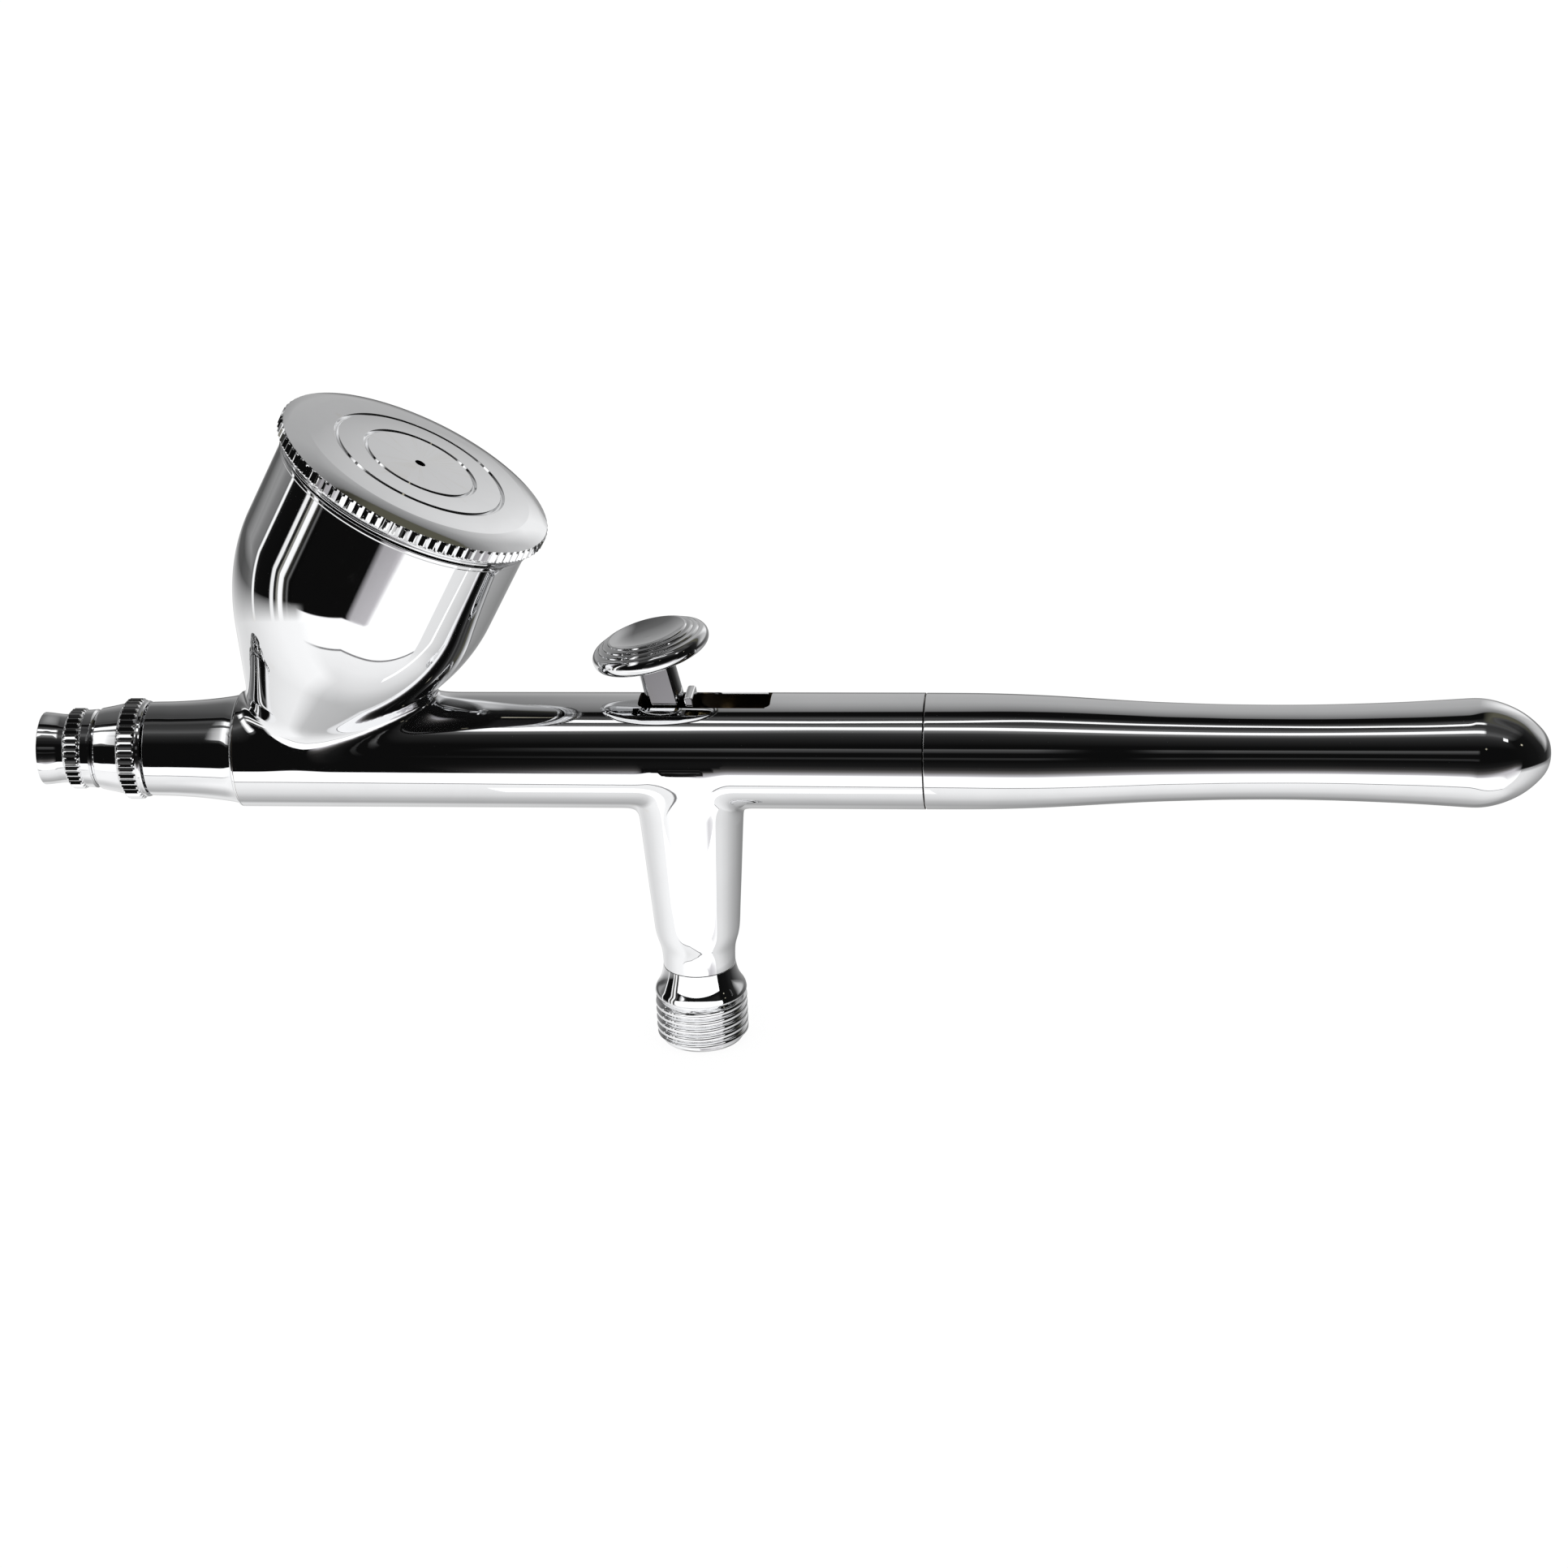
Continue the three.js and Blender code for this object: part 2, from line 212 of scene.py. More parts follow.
def turned_arrays(p, fr, seg=96, closed=False, teeth=(), thread=(), lobes=None):
    """Vertices, faces and normals of a turned shape, and which faces are flats of the knurl.
    teeth: (a0, a1, count, depth, least radius); thread: (a0, a1, pitch, depth, least radius)."""
    O, A, U, V = fr
    if teeth:
        cnt = teeth[0][2]
        u = np.array([-0.05, 0.05, 0.26, 0.475, 0.525, 0.74])
        th = (np.arange(cnt)[:, None] + u[None, :]).ravel() / cnt * 2 * math.pi
    else:
        th = np.arange(seg) / seg * 2 * math.pi
    a = np.repeat(p[:, 0][:, None], len(th), 1)
    R = np.repeat(p[:, 1][:, None], len(th), 1)
    for a0, a1, pitch, depth, rmin in thread:
        ph = ((a / pitch - th[None, :] / (2 * math.pi)) % 1.0)
        c = 0.5 - 0.5 * np.cos(2 * math.pi * ph)
        g = 0.14 * c + 0.86 * c ** 4
        w = np.clip(np.minimum((a - a0) / (0.5 * pitch), (a1 - a) / (0.5 * pitch)), 0, 1)
        R = R - depth * w * g * (R > rmin)
    R0 = R.copy()
    for a0, a1, cnt, depth, rmin in teeth:
        v = np.abs(((th / (2 * math.pi) * cnt + 0.5) % 1.0) - 0.5)
        g = np.clip((v - 0.05) / 0.425, 0, 1)
        top = p[(p[:, 0] >= a0) & (p[:, 0] <= a1), 1].max()
        cut = (a >= a0) & (a <= a1) & (R > rmin)
        R = np.where(cut, np.minimum(R, (top - depth * g)[None, :]), R)
    n, m = R.shape
    if lobes is not None:
        R = lobes(a, R, th)
    P = O + a[..., None] * A + (R * np.cos(th))[..., None] * U + (R * np.sin(th))[..., None] * V
    mod = np.abs(R - R0) > 1e-6
    real = P
    if teeth:
        P = O + a[..., None] * A + (R0 * np.cos(th))[..., None] * U + (R0 * np.sin(th))[..., None] * V
    if closed:
        di = np.roll(P, -1, 0) - np.roll(P, 1, 0)
    else:
        di = np.empty_like(P)
        di[1:-1] = P[2:] - P[:-2]
        di[0] = P[1] - P[0]
        di[-1] = P[-1] - P[-2]
    dj = np.roll(P, -1, 1) - np.roll(P, 1, 1)
    if not closed:
        # at the poles take the direction round from the neighbouring row
        if R[0].max() < 1e-6:
            dj[0] = dj[1]
        if R[-1].max() < 1e-6:
            dj[-1] = dj[-2]
    nv = np.cross(dj, di)
    nv /= np.maximum(np.linalg.norm(nv, axis=-1, keepdims=True), 1e-12)
    P = real
    verts, norms, index = [], [], np.zeros((n, m), int)
    c = 0
    for i in range(n):
        if not closed and i in (0, n - 1) and R[i].max() < 1e-6:
            verts.append(P[i][:1])
            s = nv[i].mean(0)
            norms.append((s / np.linalg.norm(s))[None])
            index[i] = c
            c += 1
        else:
            verts.append(P[i])
            norms.append(nv[i])
            index[i] = np.arange(c, c + m)
            c += m
    faces, flat = [], []
    rng = range(n) if closed else range(n - 1)
    for i in rng:
        k = (i + 1) % n
        r0, r1 = index[i], index[k]
        q0, q1 = np.roll(r0, -1), np.roll(r1, -1)
        flat += (mod[i] | mod[k] | np.roll(mod[i], -1) | np.roll(mod[k], -1)).tolist()
        if r0[0] == r0[1 % m] and m > 1:
            faces += [(int(x), int(z), int(y)) for x, y, z in zip(r0, r1, q1)]
        elif r1[0] == r1[1 % m]:
            faces += [(int(x), int(y), int(z)) for x, y, z in zip(r0, q0, r1)]
        else:
            faces += np.stack([r0, q0, q1, r1], 1).tolist()
    return np.concatenate(verts), faces, np.concatenate(norms), np.array(flat, bool)


def turned(name, items, fr, mats, seg=96, closed=False, teeth=(), thread=(), f=0.08, step=0.3, face_rule=None, rows=None, arc=14):
    p = path(items, closed, f, step, arc)
    if rows:
        for r in rows:
            p = add_rows(p, *r, closed=closed)
    co, faces, nv, flat = turned_arrays(p, fr, seg, closed, teeth, thread)
    fm = None
    if face_rule:
        c = np.array([co[list(q)].mean(0) for q in faces])
        rel = c - fr[0]
        al = rel @ fr[1]
        rr = np.linalg.norm(rel - al[:, None] * fr[1], axis=1)
        fm = face_rule(al, rr)
    o = to_object(name, co, faces, mats, nv, fm)
    if flat.any():
        me = o.data
        fn = np.empty(len(me.polygons) * 3, np.float32)
        me.polygons.foreach_get("normal", fn)
        fn = fn.reshape(-1, 3)
        nl, vi = [], []
        for i, q in enumerate(faces):
            nl += [fn[i]] * len(q) if flat[i] else [nv[j] for j in q]
        me.normals_split_custom_set([tuple(float(c) for c in v) for v in nl])
    return o


def extruded(outline, half, bevel=0.0):
    """A plate in the XZ plane as vertices and faces, closed."""
    n = len(outline)
    o = np.array(outline, float)
    area = 0.5 * np.sum(o[:, 0] * np.roll(o[:, 1], -1) - np.roll(o[:, 0], -1) * o[:, 1])
    if area < 0:
        o = o[::-1]
    co = [(x, -half, z) for x, z in o] + [(x, half, z) for x, z in o]
    faces = [tuple(range(n)), tuple(range(2 * n - 1, n - 1, -1))]
    for i in range(n):
        j = (i + 1) % n
        faces.append((i, n + i, n + j, j))
    return co, faces


def raw_object(name, co, faces, mats=()):
    me = bpy.data.meshes.new(name)
    me.from_pydata(((np.asarray(co, float) + SHIFT) * MM).tolist(), [], faces)
    for m in mats:
        me.materials.append(m)
    me.update()
    o = bpy.data.objects.new(piece_name(name), me)
    bpy.context.scene.collection.objects.link(o)
    return o


def fix_normals(o):
    import bmesh
    bm = bmesh.new()
    bm.from_mesh(o.data)
    bmesh.ops.recalc_face_normals(bm, faces=bm.faces)
    bm.to_mesh(o.data)
    bm.free()
    return o


def apply_all(o):
    bpy.context.view_layer.update()
    dg = bpy.context.evaluated_depsgraph_get()
    me = bpy.data.meshes.new_from_object(o.evaluated_get(dg), preserve_all_data_layers=True, depsgraph=dg)
    old = o.data
    o.modifiers.clear()
    o.data = me
    bpy.data.meshes.remove(old)
    return o


def boolean(o, cutter, op="DIFFERENCE", solver="MANIFOLD"):
    m = o.modifiers.new("b", "BOOLEAN")
    m.operation = op
    m.object = cutter
    m.solver = solver
    apply_all(o)
    cm = cutter.data
    bpy.data.objects.remove(cutter)
    bpy.data.meshes.remove(cm)
    return o


def bevelled(o, width, segments=3, angle=30):
    m = o.modifiers.new("v", "BEVEL")
    m.width = width * MM
    m.segments = segments
    m.limit_method = "ANGLE"
    m.angle_limit = math.radians(angle)
    m.harden_normals = False
    return apply_all(o)


def by_angle(o, angle=28):
    """Smooth shading with hard edges above the angle."""
    me = o.data
    me.shade_smooth()
    import bmesh
    bm = bmesh.new()
    bm.from_mesh(me)
    lim = math.radians(angle)
    for e in bm.edges:
        if len(e.link_faces) != 2 or e.calc_face_angle(0) > lim or e.link_faces[0].material_index != e.link_faces[1].material_index:
            e.smooth = False
    bm.to_mesh(me)
    bm.free()
    return o


# ------------------------------------------------------------------ materials
class Mat:
    """A small helper for node materials."""

    def __init__(self, name):
        self.m = bpy.data.materials.new(name)
        self.m.use_nodes = True
        self.nt = self.m.node_tree
        self.nt.nodes.clear()
        self.out = self.nt.nodes.new("ShaderNodeOutputMaterial")

    def node(self, kind, **kw):
        n = self.nt.nodes.new(kind)
        for k, v in kw.items():
            if k == "inputs":
                for i, x in v.items():
                    if isinstance(x, bpy.types.NodeSocket):
                        self.nt.links.new(x, n.inputs[i])
                    else:
                        n.inputs[i].default_value = x
            else:
                setattr(n, k, v)
        return n

    def math(self, op, a, b=0.0, c=0.0):
        return self.node("ShaderNodeMath", operation=op, inputs={0: a, 1: b, 2: c}).outputs[0]

    def ramp(self, fac, stops, interp="LINEAR"):
        n = self.node("ShaderNodeValToRGB", inputs={0: fac})
        e = n.color_ramp.elements
        n.color_ramp.interpolation = interp
        while len(e) > 1:
            e.remove(e[-1])
        first = True
        for pos, col in stops:
            col = (col, col, col, 1) if not isinstance(col, (tuple, list)) else (*col[:3], 1)
            if first:
                e[0].position = pos
                e[0].color = col
                first = False
            else:
                k = e.new(pos)
                k.color = col
        return n.outputs[0]

    def link(self, a, b):
        self.nt.links.new(a, b)


def metal(name, color, worn, rough=0.03, rough_var=0.03, wave=1.2e-6, grain=0.0, turned_axis=None, wear_amount=0.5, turn_depth=0.0):
    """Plated or turned metal: slow waviness of the polish, fine grain, smudged gloss, and lighter worn edges."""
    m = Mat(name)
    tc = m.node("ShaderNodeTexCoord").outputs["Object"]
    slow = m.node("ShaderNodeTexNoise", inputs={"Vector": tc, "Scale": 170.0, "Detail": 1.5, "Roughness": 0.4}).outputs[0]
    smudge = m.node("ShaderNodeTexNoise", inputs={"Vector": tc, "Scale": 90.0, "Detail": 5.0, "Roughness": 0.65, "Distortion": 1.2}).outputs[0]
    fine = m.node("ShaderNodeTexNoise", inputs={"Vector": tc, "Scale": 5200.0, "Detail": 2.0, "Roughness": 0.6}).outputs[0]
    # hairline marks: noise drawn out along one direction
    mp = m.node("ShaderNodeMapping", inputs={"Vector": tc, "Scale": (900.0, 5200.0, 240.0), "Rotation": (0.3, 0.5, 0.9)}).outputs[0]
    hair = m.node("ShaderNodeTexNoise", inputs={"Vector": mp, "Scale": 1.0, "Detail": 1.0}).outputs[0]
    hairm = m.ramp(hair, [(0.0, 0.0), (0.70, 0.0), (0.78, 1.0)])
    pt = m.node("ShaderNodeNewGeometry").outputs["Pointiness"]
    edge = m.ramp(pt, [(0.0, 0.0), (0.53, 0.0), (0.60, 1.0)])
    wearn = m.ramp(smudge, [(0.0, 0.0), (0.45, 0.15), (0.62, 1.0)])
    wear = m.math("MULTIPLY", m.math("MULTIPLY", edge, wearn), wear_amount)
    tint = m.ramp(smudge, [(0.0, tuple(c * 0.93 for c in color)), (0.5, color), (1.0, tuple(min(1, c * 1.03) for c in color))])
    col = m.node("ShaderNodeMix", data_type="RGBA", inputs={0: wear, 6: tint, 7: (*worn, 1)}).outputs[2]
    r1 = m.math("MULTIPLY_ADD", m.ramp(smudge, [(0.0, 0.0), (0.42, 0.05), (0.75, 1.0)]), rough_var, rough)
    r2 = m.math("MULTIPLY_ADD", wear, 0.12, r1)
    r3 = m.math("MULTIPLY_ADD", hairm, 0.035, r2)
    h = m.math("MULTIPLY", slow, wave)
    h = m.math("MULTIPLY_ADD", fine, 0.03e-6 + grain, h)
    if turned_axis is not None:
        sep = m.node("ShaderNodeSeparateXYZ", inputs={0: tc}).outputs[turned_axis]
        wob = m.math("MULTIPLY_ADD", slow, 0.00004, sep)
        c1 = m.node("ShaderNodeCombineXYZ", inputs={0: wob}).outputs[0]
        rings = m.node("ShaderNodeTexNoise", inputs={"Vector": c1, "Scale": 9000.0, "Detail": 3.0, "Roughness": 0.7}).outputs[0]
        h = m.math("MULTIPLY_ADD", rings, turn_depth, h)
        r3 = m.math("MULTIPLY_ADD", rings, 0.12, r3)
    bump = m.node("ShaderNodeBump", inputs={"Strength": 1.0, "Distance": 1.0, "Height": h}).outputs[0]
    b = m.node("ShaderNodeBsdfPrincipled", inputs={"Base Color": col, "Metallic": 1.0, "Roughness": r3, "Normal": bump})
    m.link(b.outputs[0], m.out.inputs[0])
    return m.m


def dull(name, color, color2, rough, bump_h=2e-6, scale=900.0):
    m = Mat(name)
    tc = m.node("ShaderNodeTexCoord").outputs["Object"]
    n1 = m.node("ShaderNodeTexNoise", inputs={"Vector": tc, "Scale": scale, "Detail": 4.0}).outputs[0]
    n2 = m.node("ShaderNodeTexNoise", inputs={"Vector": tc, "Scale": scale * 6, "Detail": 2.0}).outputs[0]
    pt = m.node("ShaderNodeNewGeometry").outputs["Pointiness"]
    edge = m.ramp(pt, [(0.0, 0.0), (0.52, 0.0), (0.60, 1.0)])
    col = m.ramp(n1, [(0.3, color), (0.7, color2)])
    col = m.node("ShaderNodeMix", data_type="RGBA", inputs={0: m.math("MULTIPLY", edge, 0.35), 6: col, 7: (*[min(1, c * 1.5 + 0.03) for c in color2], 1)}).outputs[2]
    r = m.math("MULTIPLY_ADD", n2, 0.15, rough)
    h = m.math("MULTIPLY", n2, bump_h)
    bump = m.node("ShaderNodeBump", inputs={"Strength": 1.0, "Distance": 1.0, "Height": h}).outputs[0]
    b = m.node("ShaderNodeBsdfPrincipled", inputs={"Base Color": col, "Metallic": 0.0, "Roughness": r, "Normal": bump})
    m.link(b.outputs[0], m.out.inputs[0])
    return m.m


CHROME = metal("chrome_plate", (0.86, 0.865, 0.875), (0.80, 0.78, 0.74), rough=0.025, rough_var=0.025)
# bores, slot walls and cut ends: turned metal with real turning marks and real brass-coloured wear at the edges, but
# its base colour is darkened to near black as painted shade inside the recesses
SHADED_BORE_METAL = metal("bored_metal_painted_shade", (0.15, 0.13, 0.115), (0.55, 0.44, 0.26), rough=0.20, rough_var=0.10, grain=0.3e-6, turned_axis=0, turn_depth=1.2e-6)
STEEL = metal("bright_steel", (0.72, 0.73, 0.75), (0.80, 0.80, 0.80), rough=0.12, rough_var=0.05, turned_axis=0, turn_depth=0.8e-6)
BRASS = metal("turned_brass", (0.78, 0.62, 0.33), (0.88, 0.76, 0.50), rough=0.16, rough_var=0.10, turned_axis=0, turn_depth=1.5e-6)
BRASS_Z = metal("turned_brass_valve", (0.78, 0.62, 0.33), (0.88, 0.76, 0.50), rough=0.16, rough_var=0.10, turned_axis=2, turn_depth=1.5e-6)
WIRE = metal("spring_wire", (0.60, 0.61, 0.63), (0.75, 0.75, 0.76), rough=0.20, rough_var=0.08, grain=0.2e-6)
PTFE = dull("ptfe", (0.86, 0.85, 0.82), (0.91, 0.90, 0.87), 0.38)
RUBBER = dull("nitrile_rubber", (0.018, 0.018, 0.019), (0.035, 0.034, 0.033), 0.48)


def place(o, body, node):
    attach(o, body)
    for n in node if isinstance(node, (list, tuple)) else [node]:
        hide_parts(n)
    return o


# ------------------------------------------------------------------ the fused body
def smin(a, b, k):
    h = np.maximum(k - np.abs(a - b), 0) / k
    return np.minimum(a, b) - h * h * h * k / 6.0


HOUSE = spline([(-26, 3.80), (-24.3, 3.80), (-23.6, 3.81), (-22.8, 3.86), (-22.0, 3.99), (-21.3, 4.20), (-20.5, 4.40), (-19.7, 4.50), (-18.2, 4.61),
                (-15.2, 4.84), (-12.2, 5.06), (-10.0, 5.22), (-8.0, 5.37), (-6.0, 5.52), (-2.0, 5.80), (2, 6.0)], 0.1)


def field(p):
    x, y, z = p[..., 0], p[..., 1], p[..., 2]
    db = np.sqrt(y * y + z * z) - 6.0
    rx, rz = x - CUP_O[0], z - CUP_O[2]
    s = rx * math.sin(TILT) + rz * math.cos(TILT)
    q = rx * math.cos(TILT) - rz * math.sin(TILT)
    r = np.sqrt(q * q + y * y)
    cone = 8.33 + 0.597 * (s + 27.0)
    k = 3.32
    h = np.maximum(k - np.abs(13.55 - cone), 0) / k
    R = np.minimum(13.55, cone) - h * h * k / 4
    slope = np.where(cone < 13.55, 0.597, 0.0)
    wgt = np.clip((13.55 - cone) / (2 * k) + 0.5, 0, 1)
    slope = 0.597 * wgt
    dc = (r - R) / np.sqrt(1 + slope * slope)
    rh = np.sqrt(x * x + y * y)
    H = np.interp(z, HOUSE[:, 0], HOUSE[:, 1])
    dh = np.maximum(rh - H, z + 0.5)
    f = smin(db, dc, 3.0)
    return smin(f, dh, 1.9)


def grad(p, e=2e-3):
    g = np.empty_like(p)
    for i in range(3):
        d = np.zeros(3)
        d[i] = e
        g[..., i] = (field(p + d) - field(p - d)) / (2 * e)
    return g


def limited(p):
    x, y, z = p[..., 0], p[..., 1], p[..., 2]
    s = (x - CUP_O[0]) * math.sin(TILT) + (z - CUP_O[2]) * math.cos(TILT)
    q = (x - CUP_O[0]) * math.cos(TILT) - (z - CUP_O[2]) * math.sin(TILT)
    f = field(p)
    f = np.maximum(f, np.abs(x + 11.0) - 37.2)
    f = np.maximum(f, np.minimum(s + 2.8, 18.0 - np.sqrt(q * q + y * y)))
    return np.maximum(f, -25.3 - z)


def surface_net(h):
    lo = np.array([-49.0, -14.6, -26.4])
    n = np.ceil((np.array([27.2, 14.6, 36.0]) - lo) / h).astype(int) + 1
    gx, gy, gz = [lo[i] + h * np.arange(n[i]) for i in range(3)]
    F = np.empty(tuple(n), np.float32)
    for i in range(n[0]):
        P = np.stack(np.meshgrid(gx[i:i + 1], gy, gz, indexing="ij"), -1)
        F[i] = limited(P)[0]
    S = F < 0
    cnt = np.zeros(tuple(n - 1), np.uint8)
    for dx in (0, 1):
        for dy in (0, 1):
            for dz in (0, 1):
                cnt += S[dx:n[0] - 1 + dx, dy:n[1] - 1 + dy, dz:n[2] - 1 + dz]
    act = (cnt > 0) & (cnt < 8)
    idx = np.argwhere(act)
    ids = np.full(tuple(n - 1), -1, np.int64)
    ids[act] = np.arange(len(idx))
    acc = np.zeros((len(idx), 3))
    num = np.zeros(len(idx))
    corners = [(0, 0, 0), (1, 0, 0), (0, 1, 0), (1, 1, 0), (0, 0, 1), (1, 0, 1), (0, 1, 1), (1, 1, 1)]
    val = np.stack([F[idx[:, 0] + c[0], idx[:, 1] + c[1], idx[:, 2] + c[2]] for c in corners], 1)
    for a in range(8):
        for b in range(a + 1, 8):
            if sum(abs(corners[a][i] - corners[b][i]) for i in range(3)) != 1:
                continue
            m = (val[:, a] < 0) != (val[:, b] < 0)
            t = val[m, a] / (val[m, a] - val[m, b])
            pa, pb = np.array(corners[a], float), np.array(corners[b], float)
            acc[m] += pa + (pb - pa) * t[:, None]
            num[m] += 1
    v = lo + h * (idx + acc / num[:, None])
    for _ in range(3):
        f = field(v)
        g = grad(v)
        near = np.abs(f) < 0.8 * h
        st = (f / np.maximum((g * g).sum(1), 1e-6))[:, None] * g
        # only where the limiting planes are not in play
        lim = np.abs(limited(v) - f) < 1e-6
        ok = near & lim
        v[ok] -= st[ok]
    quads = []
    for ax in range(3):
        a1, a2 = (ax + 1) % 3, (ax + 2) % 3
        sl0 = [slice(1, n[i] - 1) for i in range(3)]
        sl1 = list(sl0)
        sl0[ax] = slice(0, n[ax] - 1)
        sl1[ax] = slice(1, n[ax])
        A, B = S[tuple(sl0)], S[tuple(sl1)]
        e = np.argwhere(A != B)
        off = np.array([1, 1, 1])
        off[ax] = 0
        base = e + off
        inside = A[tuple(e.T)]
        o1, o2 = np.zeros(3, int), np.zeros(3, int)
        o1[a1], o2[a2] = 1, 1
        c00 = ids[tuple((base - o1 - o2).T)]
        c10 = ids[tuple((base - o2).T)]
        c11 = ids[tuple(base.T)]
        c01 = ids[tuple((base - o1).T)]
        q = np.stack([c00, c10, c11, c01], 1)
        q[~inside] = q[~inside][:, ::-1]
        quads.append(q)
    return v, np.concatenate(quads)


def cutter_box(lo, hi, fr=None):
    """Box from lo to hi; in a turning frame the first axis is along it."""
    c = [(x, y, z) for x in (lo[0], hi[0]) for y in (lo[1], hi[1]) for z in (lo[2], hi[2])]
    c = np.array(c, float)
    if fr is not None:
        O, A, U, V = fr
        c = O + c[:, :1] * A + c[:, 1:2] * U + c[:, 2:3] * V
    f = [(0, 1, 3, 2), (4, 6, 7, 5), (0, 4, 5, 1), (2, 3, 7, 6), (0, 2, 6, 4), (1, 5, 7, 3)]
    return fix_normals(raw_object("cut", c, f, [SHADED_BORE_METAL]))


def cutter_turned(items, fr, seg=64, mat=None, f=0.05, step=0.3):
    p = path(items, False, f, step)
    co, faces, _, _ = turned_arrays(p, fr, seg)
    return fix_normals(raw_object("cut", co, faces, [mat or SHADED_BORE_METAL]))


def build_body():
    h = 0.36
    v, q = surface_net(h)
    # faces left by the cutters take the bore metal, whose near-black colour is painted shade
    o = raw_object("body_shell", v, q.tolist(), [CHROME, SHADED_BORE_METAL])
    # the ends, cut square
    for c in (
        cutter_box((-60, -9, -9), (-46.7, 9, 9)),
        cutter_box((24.6, -9, -9), (40, 9, 9)),
        cutter_box((-3.95, -17, -17), (10, 17, 17), ACUP),
        cutter_box((-7, -7, -30), (7, 7, -24.3)),
    ):
        boolean(o, c)
    well = [(-35.8, 0), (-35.8, 2.4), (-34, 2.4), ("s", -31, 5.15), ("s", -27, 7.6), ("s", -23, 9.95), ("s", -21, 11.0), ("s", -19, 11.85), ("s", -17, 12.42),
            ("s", -15, 12.75), ("s", -12.5, 12.89), (-10, 12.9), (-1, 12.9), (-1, 0)]
    boolean(o, cutter_turned(well, ACUP, 160, CHROME))
    boolean(o, cutter_turned([(-48, 0), (-48, 1.3), (-31.3, 1.3), (-31.3, 2.3), (-4.6, 2.3), (-4.6, 0)], AX, 40))
    boolean(o, cutter_turned([(2.95, 0), (2.95, 4.2), (27, 4.2), (27, 0)], AX, 72))
    boolean(o, cutter_turned([(-26, 0), (-26, 2.9), (-13, 2.9), (-13, 1.5), (-6.2, 1.5), (-6.2, 2.5), (-5.4, 2.5), (-5.4, 1.5), (-4, 1.5), (-4, 0)], AZ, 48))
    co, faces = extruded([(-4.75, 9), (-4.75, -4.7), (1.5, -4.7), (1.5, -2.85), (3.1, -2.85), (3.1, 0), (8.9, 0), (8.9, 9)], 2.0)
    slotc = fix_normals(raw_object("cut", co, faces, [SHADED_BORE_METAL]))
    import bmesh
    bm = bmesh.new()
    bm.from_mesh(slotc.data)
    ed = []
    for e in bm.edges:
        a, b = [((np.array(v.co) / MM) - SHIFT) for v in e.verts]
        if abs(a[0] - b[0]) < 1e-3 and abs(a[1] - b[1]) < 1e-3 and (abs(a[0] + 4.75) < 1e-2 or abs(a[0] - 8.9) < 1e-2):
            ed.append(e)
    bmesh.ops.bevel(bm, geom=ed, offset=0.55 * MM, segments=6, profile=0.5, affect="EDGES")
    bm.to_mesh(slotc.data)
    bm.free()
    boolean(o, slotc)
    # fine chamfers along the two long slot edges
    for sgn in (-1, 1):
        pr = [(1.9, 5.40), (2.02, 5.52), (2.30, 5.72), (1.9, 6.2)]
        c = [(x, sgn * y, z) for x in (-4.3, 8.4) for y, z in pr]
        f = [(0, 1, 2, 3), (7, 6, 5, 4), (0, 4, 5, 1), (1, 5, 6, 2), (2, 6, 7, 3), (3, 7, 4, 0)]
        boolean(o, fix_normals(raw_object("cut", c, f, [CHROME])))
    by_angle(o, 24)
    me = o.data
    # exact normals on the outside surface
    nl = len(me.loops)
    cn = np.empty(nl * 3, np.float32)
    me.corner_normals.foreach_get("vector", cn)
    cn = cn.reshape(-1, 3).astype(float)
    vi = np.empty(nl, np.int32)
    me.loops.foreach_get("vertex_index", vi)
    vc = np.empty(len(me.vertices) * 3, np.float32)
    me.vertices.foreach_get("co", vc)
    vc = vc.reshape(-1, 3).astype(float) / MM - SHIFT
    nf = len(me.polygons)
    ls = np.empty(nf, np.int32)
    lt = np.empty(nf, np.int32)
    me.polygons.foreach_get("loop_start", ls)
    me.polygons.foreach_get("loop_total", lt)
    ctr = np.empty(nf * 3, np.float32)
    me.polygons.foreach_get("center", ctr)
    ctr = ctr.reshape(-1, 3).astype(float) / MM - SHIFT
    fn = np.empty(nf * 3, np.float32)
    me.polygons.foreach_get("normal", fn)
    fn = fn.reshape(-1, 3).astype(float)
    gf = grad(ctr)
    gf /= np.linalg.norm(gf, axis=1, keepdims=True)
    outer = (np.abs(field(ctr)) < 0.02) & ((gf * fn).sum(1) > 0.93)
    fl = np.repeat(np.arange(nf), lt)
    order = np.concatenate([np.arange(a, a + b) for a, b in zip(ls, lt)])
    loop_face = np.empty(nl, np.int64)
    loop_face[order] = fl
    gv = grad(vc)
    gv /= np.linalg.norm(gv, axis=1, keepdims=True)
    m = outer[loop_face] & (np.abs(field(vc))[vi] < 0.05)
    cn[m] = gv[vi[m]]
    me.normals_split_custom_set(cn.tolist())
    return place(o, "barrel_group", "body")


build_body()

# front of the body, a separate turned length with its nose thread
turned("body_front", [
    (-46.7, 1.3), (-46.7, 6.0, 0.10), (-46.95, 5.98, 0.12), (-47.05, 5.74, 0.12), ("s", -47.65, 5.59), ("s", -48.2, 5.50), ("s", -49.2, 5.365), ("s", -50.3, 5.24),
    ("s", -51.3, 5.145), ("s", -52.35, 5.065), ("s", -53.4, 5.005), ("s", -54.4, 4.96), ("s", -55.5, 4.94), (-56.6, 4.92, 0.12), (-56.6, 3.5), (-60.4, 3.5, 0.2),
    (-60.4, 1.65), (-58, 1.65), (-58, 1.3)],
    AX, [CHROME], seg=160, closed=True, thread=[(-60.3, -57.2, 0.6, 0.3, 3.2)],
    rows=[(np.arange(-60.3, -57.1, 0.06), -60.3, -57.2, 3.3)])
place(OBJ["body_front"], "barrel_group", "body")

